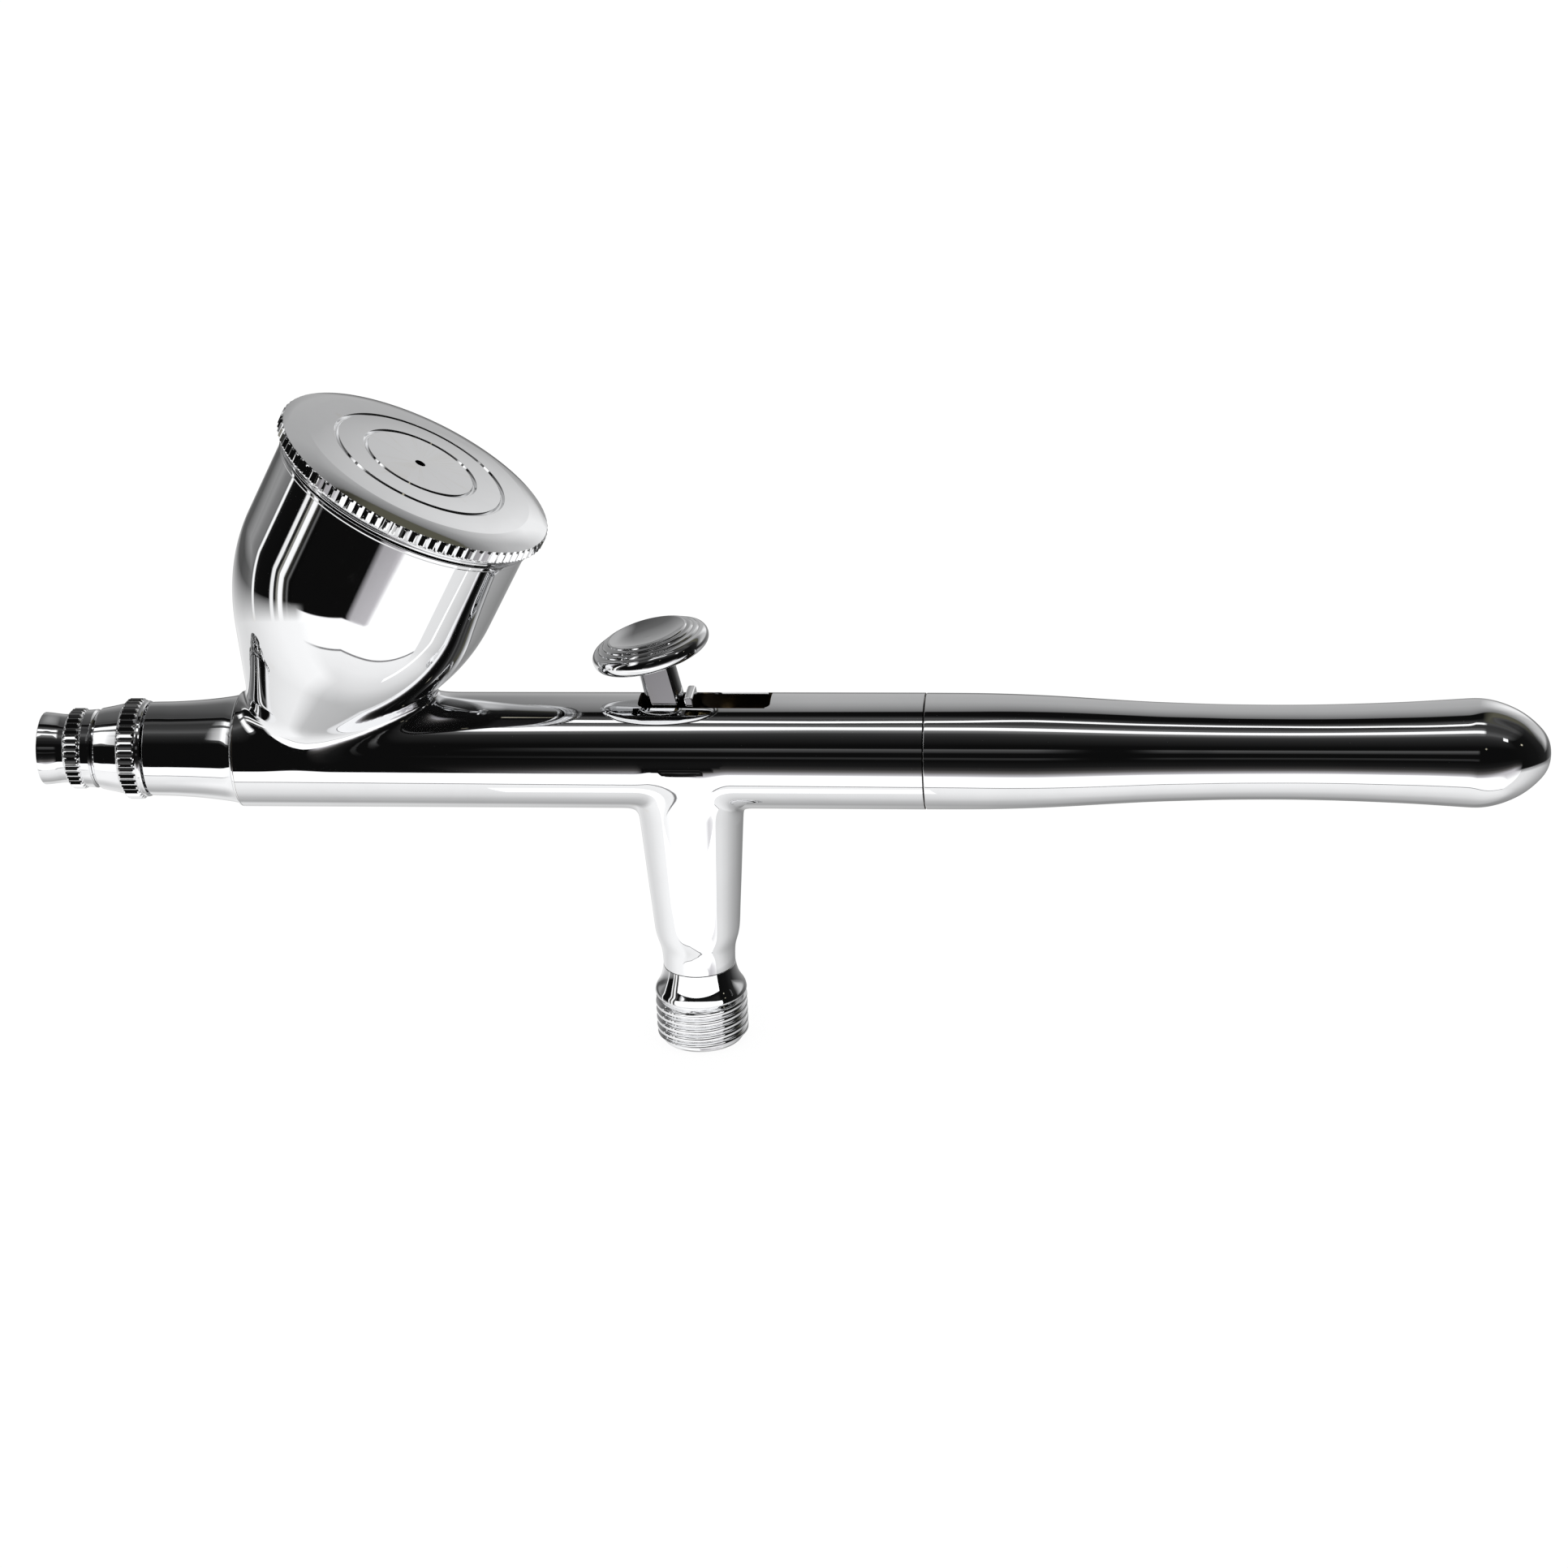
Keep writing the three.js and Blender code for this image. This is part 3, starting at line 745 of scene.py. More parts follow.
# rim bead of the cup, with the fine steps under the lid
turned("cup_rim", [
    (-3.95, 12.9), (-3.95, 13.62, 0.05), (-3.80, 13.70, 0.1), (-3.46, 13.70, 0.1), (-3.38, 13.5, 0.05), (-3.38, 12.9, 0.1)],
    ACUP, [CHROME], seg=192, closed=True)
place(OBJ["cup_rim"], "barrel_group", "body")

# threaded spigot that carries the handle
turned("body_spigot", [
    (24.6, 4.2), (24.6, 4.95, 0.02), (24.9, 4.7), (25.3, 4.7), (25.4, 4.95), (29.3, 4.95), (29.5, 4.75), (29.5, 4.2)],
    AX, [CHROME, BRASS], seg=128, closed=True, thread=[(25.5, 29.4, 0.6, 0.3, 4.6)],
    rows=[(np.arange(25.4, 29.4, 0.06), 25.4, 29.4, 4.6)])
place(OBJ["body_spigot"], "barrel_group", "body")

# ------------------------------------------------------------------ lid
LN = 88
turned("cup_lid", [
    (-0.02, 0.55, 0.04), (0.0, 5.73, 0.03), (-0.30, 5.89, 0.05), (-0.30, 6.05, 0.05), (0.0, 6.21, 0.03), ("s", -0.03, 7.5), (-0.08, 8.86, 0.03), (-0.38, 9.02, 0.05),
    (-0.38, 9.18, 0.05), (-0.10, 9.34, 0.03), ("s", -0.20, 11.0), (-0.31, 12.15, 0.9), ("s", -0.60, 13.4), (-1.00, 14.50, 0.1), (-1.22, 14.65, 0), (-2.10, 14.65, 0),
    (-2.40, 14.34, 0.03), (-2.40, 13.92, 0.05), (-2.62, 13.92, 0.04), (-2.66, 13.80, 0.03), (-2.80, 13.80, 0.03), (-2.84, 13.95, 0.04), (-3.08, 13.95, 0.1), (-3.08, 12.56, 0.1), (-3.35, 12.45, 0.1), (-3.6, 12.55, 0.1),
    (-8.3, 12.5, 0.2), (-8.3, 11.8, 0.1), (-1.5, 11.8, 0.5), (-1.3, 0.55, 0.05)],
    ACUP, [CHROME], closed=True, teeth=[(-2.40, -1.0, LN, 0.31, 14.3)], f=0.05, step=0.8, arc=26,
    rows=[(np.arange(-2.36, -2.1, 0.07), -2.4, -2.1, 14.3), (np.arange(-1.2, -1.0, 0.05), -1.22, -1.0, 14.45)])
place(OBJ["cup_lid"], "lid_group", "cup_lid")

# ------------------------------------------------------------------ nozzle end
turned("needle_cap", [
    (-68.2, 3.82, 0.08), ("s", -67.6, 3.77), ("s", -67.05, 3.70), ("s", -66.5, 3.635), ("s", -66.0, 3.60), (-65.40, 3.61, 0.1), (-65.27, 3.96, 0.03), (-64.99, 4.24, 0), (-63.90, 4.24, 0),
    (-63.62, 3.97, 0.03), (-63.45, 4.06, 0.06), ("s", -62.9, 4.10), (-62.56, 4.135, 0.05), (-62.37, 3.93, 0.02), (-62.37, 3.3), (-65.8, 3.3), (-65.8, 1.6, 0.05), (-66.4, 1.6, 0.2), (-68.2, 3.05, 0.15)],
    AX, [CHROME], closed=True, teeth=[(-65.30, -63.60, 36, 0.27, 3.9)], f=0.06, step=0.2,
    rows=[(np.arange(-65.25, -64.98, 0.05), -65.27, -64.99, 3.9), (np.arange(-63.9, -63.6, 0.05), -63.9, -63.62, 3.9)])
place(OBJ["needle_cap"], "needle_cap_group", "needle_cap")
turned("nozzle_cap", [
    (-65.5, 3.0, 0.1), (-62.3, 3.0), (-62.3, 3.95, 0.02), (-61.92, 4.27, 0.06), ("s", -61.3, 4.395), ("s", -60.7, 4.51), ("s", -60.2, 4.615), (-59.38, 4.80, 0.08), (-59.27, 5.0, 0.03), (-58.98, 5.29, 0), (-57.66, 5.29, 0),
    (-57.37, 5.0, 0.03), (-57.22, 5.05, 0.05), (-56.98, 5.03, 0.04), (-56.84, 4.95, 0.06), (-56.84, 4.6), (-57.7, 4.6), (-57.7, 3.75), (-60.6, 3.75), (-61.7, 2.9), (-62.6, 1.9),
    (-64.9, 1.9), (-64.9, 1.15), (-65.5, 1.15)],
    AX, [CHROME], closed=True, teeth=[(-59.28, -57.36, 41, 0.28, 4.95)], f=0.06, step=0.2,
    rows=[(np.arange(-59.25, -58.97, 0.05), -59.27, -58.98, 4.95), (np.arange(-57.65, -57.36, 0.05), -57.66, -57.37, 4.95)])
place(OBJ["nozzle_cap"], "nozzle_cap_group", "nozzle_cap")
turned("nozzle", [(-66.3, 0.55, 0.03), (-61.5, 1.6, 0.3), (-61.5, 2.5, 0.1), (-60.9, 2.5, 0.1), (-60.9, 1.4), (-58.2, 1.4, 0.1), (-58.2, 0.95), (-61.5, 0.95, 0.3), (-66.3, 0.3, 0.02)],
       AX, [STEEL], seg=64, closed=True)
place(OBJ["nozzle"], "barrel_group", "nozzle")
turned("nozzle_seal", [(-60.85, 1.75, 0.1), (-60.85, 2.45, 0.12), (-60.45, 2.45, 0.12), (-60.45, 1.75, 0.1)], AX, [PTFE], seg=48, closed=True)
place(OBJ["nozzle_seal"], "barrel_group", "nozzle_seal")

# ------------------------------------------------------------------ needle, packing
turned("needle", [(-67.4, 0), (-67.38, 0.03, 0.01), ("s", -66.2, 0.14), ("s", -64.2, 0.33), ("s", -62, 0.53), (-60, 0.65, 2.0), (61.6, 0.65, 0.1), (62.0, 0.35, 0.1), (62.0, 0)], AX, [STEEL], seg=40, step=0.5)
place(OBJ["needle"], "needle_carriage", "needle")
turned("needle_packing", [(-31.2, 0.8), (-31.2, 2.1, 0.15), (-28.4, 2.1, 0.15), (-28.4, 0.8)], AX, [PTFE], seg=48, closed=True)
place(OBJ["needle_packing"], "barrel_group", "needle_packing")


def slotted(name, items, fr, mat, box, body, seg=64, thread=(), rows=None):
    """Turned ring with a driver slot cut across it."""
    p = path(items, True, 0.06, 0.3)
    if rows:
        for r in rows:
            p = add_rows(p, *r, closed=True)
    co, faces, _, _ = turned_arrays(p, fr, seg, True, (), thread)
    o = fix_normals(raw_object(name, co, faces, [mat]))
    b = cutter_box(*box)
    b.data.materials.clear()
    b.data.materials.append(mat)
    boolean(o, b)
    by_angle(o, 35)
    return place(o, body, name)


slotted("needle_packing_screw", [(-28.1, 0.95), (-28.1, 2.1, 0.1), (-21.5, 2.1, 0.1), (-21.5, 0.95)], AX, BRASS, ((-22.6, -0.3, -3), (-21, 0.3, 3)), "barrel_group",
        thread=[(-27.9, -22.8, 0.5, 0.22, 1.9)], rows=[(np.arange(-28.0, -22.7, 0.07), -28, -22.7, 1.95)])
slotted("needle_chucking_guide", [(3.25, 0.95), (3.25, 3.9, 0.15), (4.5, 3.9, 0.15), (4.5, 2.7, 0.05), (19, 2.7, 0.15), (19, 1.9, 0.05), (45.5, 1.9, 0.05), (46.5, 1.9, 0.05), (52, 1.9, 0.15), (52, 0.95)], AX, BRASS,
        ((47, -0.2, -3), (53, 0.2, 3)), "needle_carriage", seg=80, thread=[(46.6, 51.8, 0.5, 0.22, 1.7)], rows=[(np.arange(46.5, 51.9, 0.07), 46.5, 51.9, 1.8)])
slotted("valve_guide_screw", [(-20.9, 1.1), (-20.9, 2.65, 0.1), (-18.45, 2.65, 0.1), (-18.45, 1.1)], AZ, BRASS_Z, ((-3, -0.35, -21.5), (3, 0.35, -20.2)), "barrel_group",
        thread=[(-20.8, -18.5, 0.5, 0.22, 2.4)], rows=[(np.arange(-20.9, -18.4, 0.07), -20.9, -18.4, 2.5)])


# ------------------------------------------------------------------ springs
def coil(name, axis, start, end, radius, wire, turns, body, node, closed_turns=1.0):
    """Compression spring with closed end turns."""
    steps = int(turns * 40)
    t = np.linspace(0, 1, steps + 1)
    ang = 2 * math.pi * turns * t
    w = wire * 1.02
    e = closed_turns / turns
    # closed ends: the pitch falls to the wire's thickness in the last turn
    rate = np.ones_like(t)
    close = 2 * w * 1.08 * turns / (end - start)
    rate = np.where(t < e, close, rate)
    rate = np.where(t > 1 - e, close, rate)
    mid = (t >= e) & (t <= 1 - e)
    rate[mid] = (1 - 2 * e * close) / (1 - 2 * e)
    u = np.concatenate([[0], np.cumsum((rate[1:] + rate[:-1]) / 2)])
    u = start + wire + (end - start - 2 * wire) * u / u[-1]
    c, s = radius * np.cos(ang), radius * np.sin(ang)
    P = np.stack([u, c, s], 1) if axis == "x" else np.stack([c, s, u], 1)
    T = np.gradient(P, axis=0)
    T /= np.linalg.norm(T, axis=1, keepdims=True)
    Rr = np.stack([0 * c, c, s], 1) if axis == "x" else np.stack([c, s, 0 * c], 1)
    Rr /= radius
    B = np.cross(T, Rr)
    B /= np.linalg.norm(B, axis=1, keepdims=True)
    N = np.cross(B, T)
    m = 14
    th = np.arange(m) / m * 2 * math.pi
    ring = N[:, None, :] * np.cos(th)[None, :, None] + B[:, None, :] * np.sin(th)[None, :, None]
    V = (P[:, None, :] + ring * wire).reshape(-1, 3)
    nv = ring.reshape(-1, 3)
    n = len(P)
    faces = []
    for i in range(n - 1):
        a = i * m + np.arange(m)
        b = i * m + (np.arange(m) + 1) % m
        faces += np.stack([a, b, b + m, a + m], 1).tolist()
    V = np.vstack([V, P[:1], P[-1:]])
    nv = np.vstack([nv, -T[:1], T[-1:]])
    k = n * m
    faces += [(k, int((j + 1) % m), int(j)) for j in range(m)]
    faces += [(k + 1, int((n - 1) * m + j), int((n - 1) * m + (j + 1) % m)) for j in range(m)]
    o = to_object(name, V, faces, [WIRE], nv)
    fix_normals(o)
    o.data.shade_smooth()
    return place(o, body, node)


ns = coil("needle_spring", "x", 19.4, 43.5, 2.475, 0.25, 12, "barrel_group", "needle_spring")
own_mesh(ns)
vs = coil("air_valve_spring", "z", -18.2, -15.25, 1.5, 0.2, 3.5, "barrel_group", "air_valve_spring", 0.6)
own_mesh(vs)

turned("spring_case", [(17.5, 3.05), (17.5, 3.95, 0.1), (26.5, 3.95, 0.1), (26.5, 3.6, 0.05), (44.0, 3.6, 0.1), (45.3, 3.3, 0.15), (45.3, 2.2, 0.1), (44, 2.2), (44, 3.05)], AX, [BRASS], seg=96, closed=True,
       thread=[(17.7, 26.3, 0.6, 0.28, 3.7)], rows=[(np.arange(17.6, 26.4, 0.08), 17.6, 26.4, 3.8)])
place(OBJ["spring_case"], "barrel_group", "spring_case")
turned("needle_chucking_nut", [(47.5, 2.2), (47.5, 3.1, 0.1), (48, 3.3, 0.05), (48.4, 3.3, 0), (54.0, 3.3, 0), (54.5, 3.3, 0.05), (55, 3.0, 0.15), (55, 0.95), (53.6, 0.95), (52.6, 2.2)], AX, [BRASS], closed=True,
       teeth=[(47.9, 54.6, 36, 0.22, 3.12)], rows=[(np.arange(48.1, 54.4, 0.3), 48.1, 54.4, 3.2)])
place(OBJ["needle_chucking_nut"], "chucking_nut_group", "needle_chucking_nut")

# ------------------------------------------------------------------ handle
HP = path([(24.72, 5.25, 0.1), (24.72, 5.99, 0.09), ("s", 27.9, 5.98), ("s", 31.2, 5.945), ("s", 34.55, 5.85), ("s", 37.85, 5.70), ("s", 41.2, 5.50), ("s", 44.5, 5.29), ("s", 47.8, 5.11), ("s", 51.1, 4.99), ("s", 54.35, 4.89),
           ("s", 57.65, 4.84), ("s", 60.9, 4.825), ("s", 64.2, 4.855), ("s", 67.45, 4.93), ("s", 70.7, 5.04), ("s", 74, 5.185), ("s", 77.2, 5.375), ("s", 79.2, 5.50), ("s", 80.6, 5.54), ("s", 82.1, 5.33), ("s", 83.7, 4.80),
           ("s", 85.3, 3.93), ("s", 86.5, 2.93), ("s", 87.33, 1.93), ("s", 87.72, 0.98), (87.85, 0.0)], False, 0.08, 0.3)
if HP[0][1] < 1e-6:
    HP = HP[::-1]
HIN = path([(24.72, 5.25, 0.1), (30, 5.25), (30, 3.95), (58.7, 3.95, 0.4), (60.5, 1.5, 0.3), (66, 1.3, 0.3), (66.8, 0.0)], False, 0.08, 0.5)
if HIN[0][1] < 1e-6:
    HIN = HIN[::-1]
# one closed shape: out along the outside, back along the bore
HALL = np.vstack([HIN[::-1], HP[1:]])
co, faces, nv, _ = turned_arrays(HALL, AX, 160)
to_object("handle", co, faces, [CHROME], nv)
place(OBJ["handle"], "handle_group", "handle")

# ------------------------------------------------------------------ air valve and inlet
turned("valve_piston", [(-12.65, 0), (-12.65, 1.0, 0.1), (-12.5, 1.15, 0.1), (-3.1, 1.15, 0.1), (-2.75, 0.8, 0.2), (-2.75, 0)], AZ, [STEEL], seg=48)
place(OBJ["valve_piston"], "piston_group", "valve_piston")


def ring(name, fr, at, major, minor, body):
    a = np.arange(24) / 24 * 2 * math.pi
    p = np.stack([at + minor * np.sin(a), major + minor * np.cos(a)], 1)
    q = np.vstack([p, p[:1]])
    if 0.5 * np.sum(q[:-1, 0] * q[1:, 1] - q[1:, 0] * q[:-1, 1]) > 0:
        p = p[::-1]
    co, faces, nv, _ = turned_arrays(p, fr, 64, True)
    return place(to_object(name, co, faces, [RUBBER], nv), body, name)


ring("piston_o_ring", AZ, -5.8, 1.86, 0.36, "barrel_group")
ring("air_valve_o_ring", AZ, -13.7, 1.98, 0.34, "air_valve_group")
turned("air_valve", [(-20, 0), (-20, 0.5, 0.1), (-19.8, 0.7, 0.1), (-15.1, 0.7, 0.1), (-15.1, 2.45, 0.1), (-14.3, 2.45, 0.1), (-14.3, 1.3, 0.1), (-13.0, 1.3, 0.15), (-13.0, 0)], AZ, [BRASS_Z], seg=48)
place(OBJ["air_valve"], "air_valve_group", "air_valve")
turned("air_inlet", [
    (-33.0, 2.0, 0.1), (-33.0, 4.22, 0.08), (-32.72, 4.40, 0.05), (-32.5, 4.40, 0.05), (-32.38, 4.60, 0.02), (-32.15, 4.864, 0.05), (-28.15, 4.864, 0.05), (-28.0, 4.45, 0.04), (-27.72, 4.42, 0.08), (-27.6, 4.80, 0.06), (-27.42, 4.864, 0.06),
    ("s", -27.1, 4.80), ("s", -26.6, 4.52), ("s", -25.9, 4.17), ("s", -25.1, 3.94), (-24.36, 3.81, 0.06), (-24.36, 2.65), (-21.3, 2.65, 0.1), (-21.3, 1.75), (-30.0, 1.75), (-30.4, 2.0)],
    AZ, [CHROME], seg=168, closed=True, f=0.06, step=0.2, thread=[(-32.45, -27.85, 0.907, 0.38, 4.35)],
    rows=[(np.arange(-32.3, -28.0, 0.05), -32.3, -28.0, 4.5)])
place(OBJ["air_inlet"], "barrel_group", "air_inlet")

# ------------------------------------------------------------------ trigger
O, A, U, V = ABTN


def prism(section, d0, d1, mats, name):
    """A bar with the given (x', y) section, standing on the button's axis."""
    n = len(section)
    X = np.cross(np.array([0.0, 1.0, 0.0]), A)
    co = []
    for d in (d0, d1):
        for sx, sy in section:
            co.append(O + d * A + sx * X + np.array([0, sy, 0]))
    faces = [tuple(range(n - 1, -1, -1)), tuple(range(n, 2 * n))] + [(i, (i + 1) % n, n + (i + 1) % n, n + i) for i in range(n)]
    return fix_normals(raw_object(name, co, faces, mats))


# round bar with two flats
sec = []
lim = math.asin(1.5 / 1.95)
for a in np.linspace(-lim, lim, 17):
    sec.append((1.95 * math.cos(a), 1.95 * math.sin(a)))
for a in np.linspace(math.pi - lim, math.pi + lim, 17):
    sec.append((1.95 * math.cos(a), 1.95 * math.sin(a)))
stem = prism(sec, -10.2, -0.9, [CHROME], "trigger_lever")
co, faces = extruded([(-3.5, 3.9), (-2.9, 1.0), (-1.7, -0.8), (-0.78, -1.75), (-0.5, -2.33), (-0.3, -2.52), (0, -2.6), (0.3, -2.52), (0.52, -2.3), (0.6, -2.0), (0.55, -1.3), (0.45, 0), (0.3, 2.0), (0.1, 3.9)], 1.7)
fork = fix_normals(raw_object("fork", co, faces, [CHROME]))
boolean(stem, fork, "UNION")
boolean(stem, cutter_box((-8, -0.95, -6), (4, 0.95, 3.6)))
bevelled(stem, 0.10, 2, 40)
by_angle(stem, 12)
place(stem, "trigger_group", "trigger_lever")

turned("trigger_button", [
    (1.10, 0), ("s", 1.13, 1.0), ("s", 1.22, 2.1), ("s", 1.38, 3.0), ("s", 1.58, 3.7), (1.67, 3.98, 0.10), (1.62, 4.12, 0.05), (1.50, 4.20, 0.05), ("s", 1.47, 4.45), (1.44, 4.62, 0.10), (1.36, 4.74, 0.06), (1.24, 4.80, 0.05),
    ("s", 1.20, 5.02), (1.15, 5.16, 0.10), (1.06, 5.28, 0.06), (0.96, 5.34, 0.05), ("s", 0.93, 5.50), ("s", 0.85, 5.72), ("s", 0.66, 5.93), ("s", 0.36, 6.09), ("s", 0.03, 6.14), ("s", -0.30, 6.08), ("s", -0.57, 5.92), ("s", -0.80, 5.62), ("s", -0.94, 5.20), (-1.0, 4.6, 0.3),
    (-1.0, 2.2, 0.15), (-1.12, 2.1, 0.1), (-1.12, 0)],
    ABTN, [CHROME], seg=160, f=0.05, step=0.12)
place(OBJ["trigger_button"], "trigger_group", "trigger_button")

# auxiliary lever
out = [(1.99, -2.4), (0.06, 6.25)]
for a in np.linspace(0, math.pi / 2, 5)[1:]:
    out.append((0.34 - 0.28 * math.cos(a), 6.30 + 0.28 * math.sin(a)))
for a in np.linspace(math.pi / 2, math.pi, 5)[:-1]:
    out.append((0.68 - 0.28 * math.cos(a), 6.30 + 0.28 * math.sin(a)))
out += [(0.96, 6.25), (1.05, 5.35), (1.3, 4.4), (2.9, 3.3), (2.9, -2.4)]
co, faces = extruded(out, 1.7)
aux = fix_normals(raw_object("auxiliary_lever", co, faces, [CHROME]))
boolean(aux, cutter_box((-2, -0.95, -4), (6, 0.95, 1.6)))
bevelled(aux, 0.12, 3, 40)
by_angle(aux, 12)
place(aux, "auxiliary_lever_group", "auxiliary_lever")


# ------------------------------------------------------------------ studio
def lin(v, tint=(1.0, 1.0, 1.0)):
    """A display level 0..255 as a linear light level, brightened for the plating's own absorption."""
    c = (v / 255.0) ** 2.2 / 0.87
    return tuple(c * k for k in tint)


def reflect_world():
    """Soft white for the camera and for dull surfaces. Mirror surfaces see a table-top studio: a white card in front and
    below, pale paper round it, a dark room with two long strip lights above, and a grey wall behind."""
    w = bpy.data.worlds.new("studio")
    bpy.context.scene.world = w
    w.use_nodes = True
    if hasattr(w, "cycles"):
        w.cycles.sampling_method = "NONE"
    nt = w.node_tree
    nt.nodes.clear()
    m = Mat.__new__(Mat)
    m.nt = nt
    out = nt.nodes.new("ShaderNodeOutputWorld")
    d = m.node("ShaderNodeTexCoord").outputs["Generated"]
    d = m.node("ShaderNodeVectorMath", operation="NORMALIZE", inputs={0: d}).outputs[0]
    x, y, z = m.node("ShaderNodeSeparateXYZ", inputs={0: d}).outputs
    DEG = 180.0 / math.pi
    ny = m.math("MULTIPLY", y, -1.0)
    t = m.math("MULTIPLY", m.math("ARCTAN2", z, ny), DEG)
    az = m.math("MULTIPLY", m.math("ARCTAN2", x, ny), DEG)
    el = m.math("MULTIPLY", m.math("ARCSINE", z), DEG)

    def rng(v, a, b, lo=0.0, hi=1.0):
        return m.node("ShaderNodeMapRange", inputs={0: v, 1: a, 2: b, 3: lo, 4: hi}).outputs[0]

    def table(v, a, b, stops):
        f = rng(v, a, b)
        return m.ramp(f, [((p - a) / (b - a), c) for p, c in stops])

    def value(sock_):
        return m.node("ShaderNodeSeparateColor", inputs={0: sock_}).outputs[0]

    def blend(a, b, f):
        return m.node("ShaderNodeMix", data_type="RGBA", inputs={0: f, 6: a, 7: b}).outputs[2]

    def mul(a, b):
        return m.math("MULTIPLY", a, b)

    def band(v, lo, hi, soft):
        """1 between lo and hi, which may be sockets."""
        a_ = m.math("DIVIDE", m.math("SUBTRACT", v, lo), soft)
        b_ = m.math("DIVIDE", m.math("SUBTRACT", hi, v), soft)
        n = m.node("ShaderNodeMath", operation="MINIMUM", inputs={0: a_, 1: b_})
        n2 = m.node("ShaderNodeMath", operation="ADD", inputs={0: n.outputs[0], 1: 0.5})
        n2.use_clamp = True
        return n2.outputs[0]

    # the card and the wall move a little with the direction along the barrel
    xc = rng(x, -0.24, 0.6, -0.24, 0.6)
    xu = rng(x, -0.24, 0.04, -0.24, 0.04)
    low = value(table(t, -180, 20, [(-180, 0.0), (-60, 1.0), (-56, 1.0), (-30, 0.0), (20, 0.0)]))
    upp = value(table(t, -180, 20, [(-180, 0.0), (-56, 0.0), (-30, 1.0), (20, 0.0)]))
    bck = value(table(t, 20, 180, [(20, 0.0), (92, 0.0), (108, 1.0), (116, 1.0), (175, 0.0), (180, 0.0)]))
    tw = m.math("ADD", t, m.math("ADD", mul(mul(xc, 42.0), low), mul(mul(xu, 30.0), upp)))
    tw = m.math("SUBTRACT", tw, mul(mul(rng(x, -0.6, 0.7, -0.6, 0.7), 48.0), bck))

    P = (1.0, 0.97, 1.01)
    B = (1.0, 0.95, 0.93)
    front = table(tw, -180, 30, [
        (-180, lin(170)), (-140, lin(185)), (-125, lin(162)), (-115, lin(160)), (-98, lin(186)), (-86, lin(216)), (-70, lin(236)), (-57.4, lin(242)),
        (-56.9, lin(105, P)), (-55.9, lin(105, P)), (-55.4, lin(262)), (-30.4, lin(262)), (-29.6, lin(196, P)), (-26, lin(158, P)), (-21.5, lin(96, B)), (-16, lin(54, B)),
        (-9, lin(31)), (2, lin(21)), (5, lin(20)), (6.2, lin(46)), (9.0, lin(50)), (10.2, lin(21)), (18.5, lin(21)), (21.5, lin(58)), (26.0, lin(84)), (27.4, lin(24)), (30, lin(20))])
    top = table(tw, 30, 180, [
        (30, lin(20)), (35, lin(22)), (45, lin(36)), (52, lin(46)), (58, lin(60)), (63, lin(86)), (72, lin(60)), (83, lin(54)), (90, lin(76)), (94, lin(42)), (97.5, lin(22)),
        (109.5, lin(20)), (111.6, lin(108)), (118, lin(130)), (128, lin(152)), (140, lin(166)), (180, lin(174))])
    col = blend(front, top, rng(tw, 29.9, 30.1))
    olive = m.node("ShaderNodeCombineColor", inputs={0: lin(84)[0], 1: lin(83)[0], 2: lin(72)[0]}).outputs[0]
    col = blend(col, olive, mul(band(tw, 92.0, 111.5, 2.5), rng(x, 0.16, 0.34)))
    # the small front lights show only straight ahead; to the left the room is black down to the card
    dark = m.node("ShaderNodeCombineColor", inputs={0: 0.0045, 1: 0.0045, 2: 0.0045}).outputs[0]
    gap = mul(band(tw, -29.6, 29.0, 0.6), rng(az, -7.5, -12.0))
    col = blend(col, dark, gap)
    col = blend(col, dark, mul(band(tw, 3.5, 29.0, 0.6), rng(x, 0.05, 0.10)))
    # wall behind: lighter to the right, darker to the left
    wall = mul(rng(tw, 110.0, 112.0), 1.0)
    col = blend(col, m.node("ShaderNodeCombineColor", inputs={0: 0.98, 1: 0.98, 2: 0.98}).outputs[0], mul(wall, mul(mul(rng(x, 0.10, 0.30), rng(x, 0.52, 0.36, 0.25, 1.0)), rng(tw, 125.0, 158.0, 0.0, 1.0))))
    col = blend(col, table(tw, 30, 180, [(30, lin(40)), (111, lin(66)), (130, lin(70)), (155, lin(98)), (172, lin(150)), (180, lin(160))]), mul(wall, rng(x, -0.10, -0.24)))
    # long strip lights overhead, wider towards the nozzle end, ending just past the handle end
    ends = mul(mul(rng(x, 0.26, 0.18), rng(x, -0.72, -0.62)), m.math("MAXIMUM", rng(x, -0.25, -0.18), rng(x, -0.46, -0.55)))
    one = m.math("MINIMUM", m.math("ADD", x, 0.1), 0.0)
    lo1 = m.math("MULTIPLY_ADD", one, 54.0, 64.5)
    hi1 = m.math("MULTIPLY_ADD", one, -6.0, 70.5)
    s1 = band(t, lo1, hi1, 1.2)
    c2 = mul(rng(x, -0.10, 0.03, -0.10, 0.03), 50.0)
    wide = rng(x, -0.10, -0.30, 0.0, 6.0)
    s2 = band(t, m.math("ADD", c2, 84.0), m.math("ADD", m.math("ADD", c2, 88.2), wide), 0.8)
    glow = m.math("ADD", mul(band(t, m.math("SUBTRACT", lo1, 4.0), m.math("ADD", hi1, 4.0), 7.0), 0.10), 0.0)
    lights = mul(m.math("MAXIMUM", m.math("MAXIMUM", s1, s2), glow), ends)
    white = m.node("ShaderNodeCombineColor", inputs={0: 1.25, 1: 1.25, 2: 1.25}).outputs[0]
    col = blend(col, white, lights)
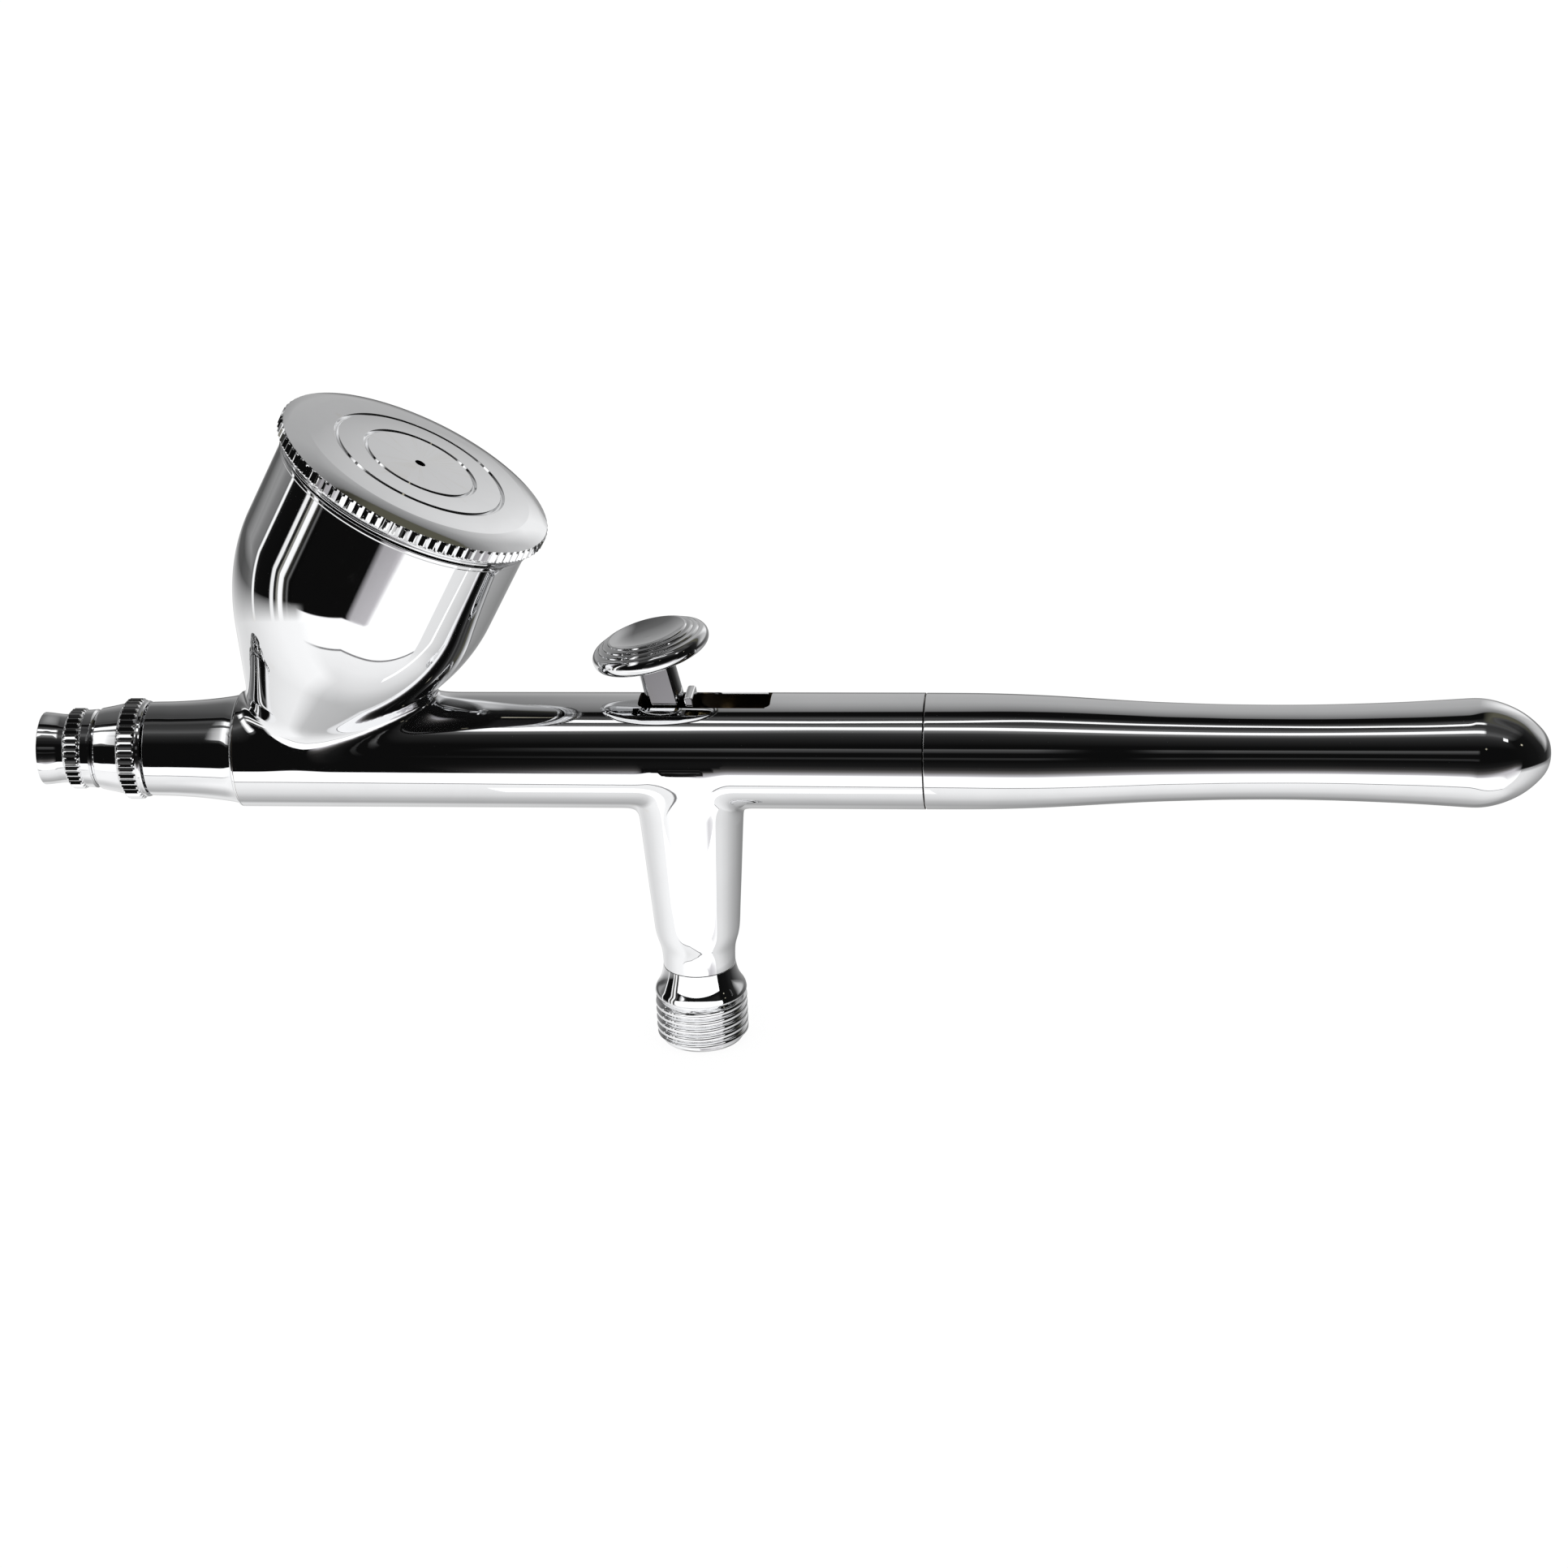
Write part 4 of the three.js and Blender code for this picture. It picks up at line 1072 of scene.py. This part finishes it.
    # the sides: paper below the horizon, narrow lights above it
    paper = table(az, -180, 180, [
        (-180, lin(140)), (-168, lin(190)), (-150, lin(226)), (-140, lin(218)), (-120, lin(214)), (-100, lin(224)), (-85, lin(236)), (-70, lin(245)), (-45, lin(250)),
        (62, lin(226)), (75, lin(224)), (90, lin(210)), (105, lin(190)), (118, lin(174)), (132, lin(160)), (150, lin(146)), (166, lin(132)), (180, lin(140))])
    left = table(az, -180, 0, [
        (-180, lin(110)), (-150, lin(88)), (-125, lin(78)), (-112, lin(92)), (-106, lin(110)), (-103.6, lin(96)), (-103.2, lin(255)), (-100.8, lin(255)), (-100.2, lin(34)), (-96, lin(22)), (-80.5, lin(20)),
        (-79.5, lin(240)), (-76.5, lin(240)), (-76, lin(40)), (-73.5, lin(36)), (-73, lin(150, (1.0, 0.97, 0.85))), (-71.5, lin(120)), (-71, lin(255)), (-67, lin(250)), (-66.4, lin(60, (1.0, 0.97, 0.85))),
        (-63.5, lin(24)), (-62.8, lin(95)), (-61.6, lin(90)), (-61, lin(18)), (-30, lin(16)), (-6, lin(16)), (0, lin(16))])
    right = table(az, 0, 180, [
        (0, lin(18)), (60, lin(22)), (66, lin(22)), (88, lin(26)), (112, lin(44)), (126, lin(76)), (150, lin(112)), (180, lin(150))])
    side = blend(left, right, rng(az, -1.0, 1.0))
    side = blend(paper, side, m.math("MULTIPLY_ADD", rng(el, -29.0, -20.5), rng(az, -40.0, -30.0), mul(rng(el, -22.0, -11.0), rng(az, -30.0, -40.0))))
    isleft_low = mul(rng(az, -38.0, -52.0), rng(el, -68.0, -57.0))
    isright_low = mul(rng(az, 61.8, 62.6), rng(el, -66.0, -58.0))
    lowside = mul(m.math("MAXIMUM", isleft_low, isright_low), m.math("MAXIMUM", rng(el, -19.0, -24.0), mul(rng(el, -10.0, -13.0), rng(az, -46.0, -54.0))))
    midside = mul(mul(rng(el, -26.0, -22.0), rng(el, 44.0, 34.0)), m.math("MAXIMUM", rng(az, -57.0, -60.0), rng(az, 52.0, 62.0)))
    # behind the object the wall takes over above the horizon
    midside = mul(midside, m.math("MAXIMUM", rng(ny, -0.55, -0.25), rng(el, 4.0, -6.0)))
    col = blend(col, side, m.math("MAXIMUM", lowside, midside))
    # a square lamp and two small warm lights to the right
    for caz, cel, wid, lev in ((57.0, 40.0, 5.2, (1.3, 1.3, 1.3)), (72.0, 24.0, 2.4, (0.75, 0.70, 0.55)), (17.0, 30.0, 2.6, (0.42, 0.39, 0.30))):
        dd = m.math("ADD", m.math("ABSOLUTE", m.math("SUBTRACT", az, caz)), m.math("ABSOLUTE", m.math("SUBTRACT", el, cel)))
        lampc = m.node("ShaderNodeCombineColor", inputs={0: lev[0], 1: lev[1], 2: lev[2]}).outputs[0]
        col = blend(col, lampc, rng(dd, wid, wid - 1.2))
    lp = m.node("ShaderNodeLightPath")
    gl = m.node("ShaderNodeBackground", inputs={0: col, 1: 1.0}).outputs[0]
    cam = m.node("ShaderNodeBackground", inputs={0: (1.0, 1.0, 1.0, 1), 1: 1.0}).outputs[0]
    mix = m.node("ShaderNodeMixShader", inputs={0: lp.outputs["Is Glossy Ray"], 1: cam, 2: gl}).outputs[0]
    nt.links.new(mix, out.inputs[0])


def floor():
    """Pale plain floor with a soft contact shadow; mirror rays pass it and see the studio."""
    me = bpy.data.meshes.new("floor")
    r = 3.0
    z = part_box("air_inlet")[0].z - 0.0002
    me.from_pydata([(-r, -r, z), (r, -r, z), (r, r, z), (-r, r, z)], [], [(0, 1, 2, 3)])
    o = bpy.data.objects.new("floor", me)
    bpy.context.scene.collection.objects.link(o)
    m = Mat("pale_floor")
    n = m.node("ShaderNodeTexNoise", inputs={"Scale": 60.0, "Detail": 3.0}).outputs[0]
    col = m.ramp(n, [(0.3, 0.90), (0.7, 0.93)])
    dif = m.node("ShaderNodeBsdfDiffuse", inputs={0: col}).outputs[0]
    white = m.node("ShaderNodeEmission", inputs={0: (1.05, 1.05, 1.05, 1), 1: 1.0}).outputs[0]
    base = m.node("ShaderNodeMixShader", inputs={0: 0.14, 1: white, 2: dif}).outputs[0]
    m.link(base, m.out.inputs[0])
    me.materials.append(m.m)
    o.visible_glossy = False


def inlet_card():
    """Small white card standing in front of the air inlet, seen only by mirror rays."""
    me = bpy.data.meshes.new("inlet_card")
    x0, x1, y, z0, z1 = (SX - 24) * MM, (SX + 24) * MM, -16 * MM, 1 * MM, 14 * MM
    me.from_pydata([(x0, y, z0), (x1, y, z0), (x1, y, z1), (x0, y, z1)], [], [(0, 1, 2, 3)])
    o = bpy.data.objects.new("inlet_card", me)
    bpy.context.scene.collection.objects.link(o)
    m = Mat("white_card")
    n = m.node("ShaderNodeTexNoise", inputs={"Scale": 40.0, "Detail": 2.0}).outputs[0]
    col = m.ramp(n, [(0.3, 0.98), (0.7, 1.0)])
    m.link(m.node("ShaderNodeEmission", inputs={0: col, 1: 1.3}).outputs[0], m.out.inputs[0])
    me.materials.append(m.m)
    for flag in ("visible_camera", "visible_diffuse", "visible_transmission", "visible_volume_scatter", "visible_shadow"):
        setattr(o, flag, False)


reflect_world()
floor()
inlet_card()

# ------------------------------------------------------------------ camera
az, el, roll = math.radians(6.768), math.radians(23.717), math.radians(-2.491)
back = Vector((math.sin(az) * math.cos(el), -math.cos(az) * math.cos(el), math.sin(el)))
right = Vector((math.cos(az), math.sin(az), 0))
upv = back.cross(right)
target = Vector(((9.815 + SX) * MM, 0, (-3.77 + SZ) * MM))
C = target + back * 0.394141
r2 = right * math.cos(roll) + upv * math.sin(roll)
u2 = upv * math.cos(roll) - right * math.sin(roll)
cam = bpy.data.cameras.new("camera")
cam.lens, cam.sensor_width, cam.sensor_fit = 87.41, 36.0, "HORIZONTAL"
cam.clip_start, cam.clip_end = 0.01, 20
co = bpy.data.objects.new("camera", cam)
co.matrix_world = Matrix(((r2.x, u2.x, back.x, C.x), (r2.y, u2.y, back.y, C.y), (r2.z, u2.z, back.z, C.z), (0, 0, 0, 1)))
bpy.context.scene.collection.objects.link(co)
bpy.context.scene.camera = co
bpy.context.scene.view_settings.view_transform = "Standard"
bpy.context.scene.view_settings.look = "None"
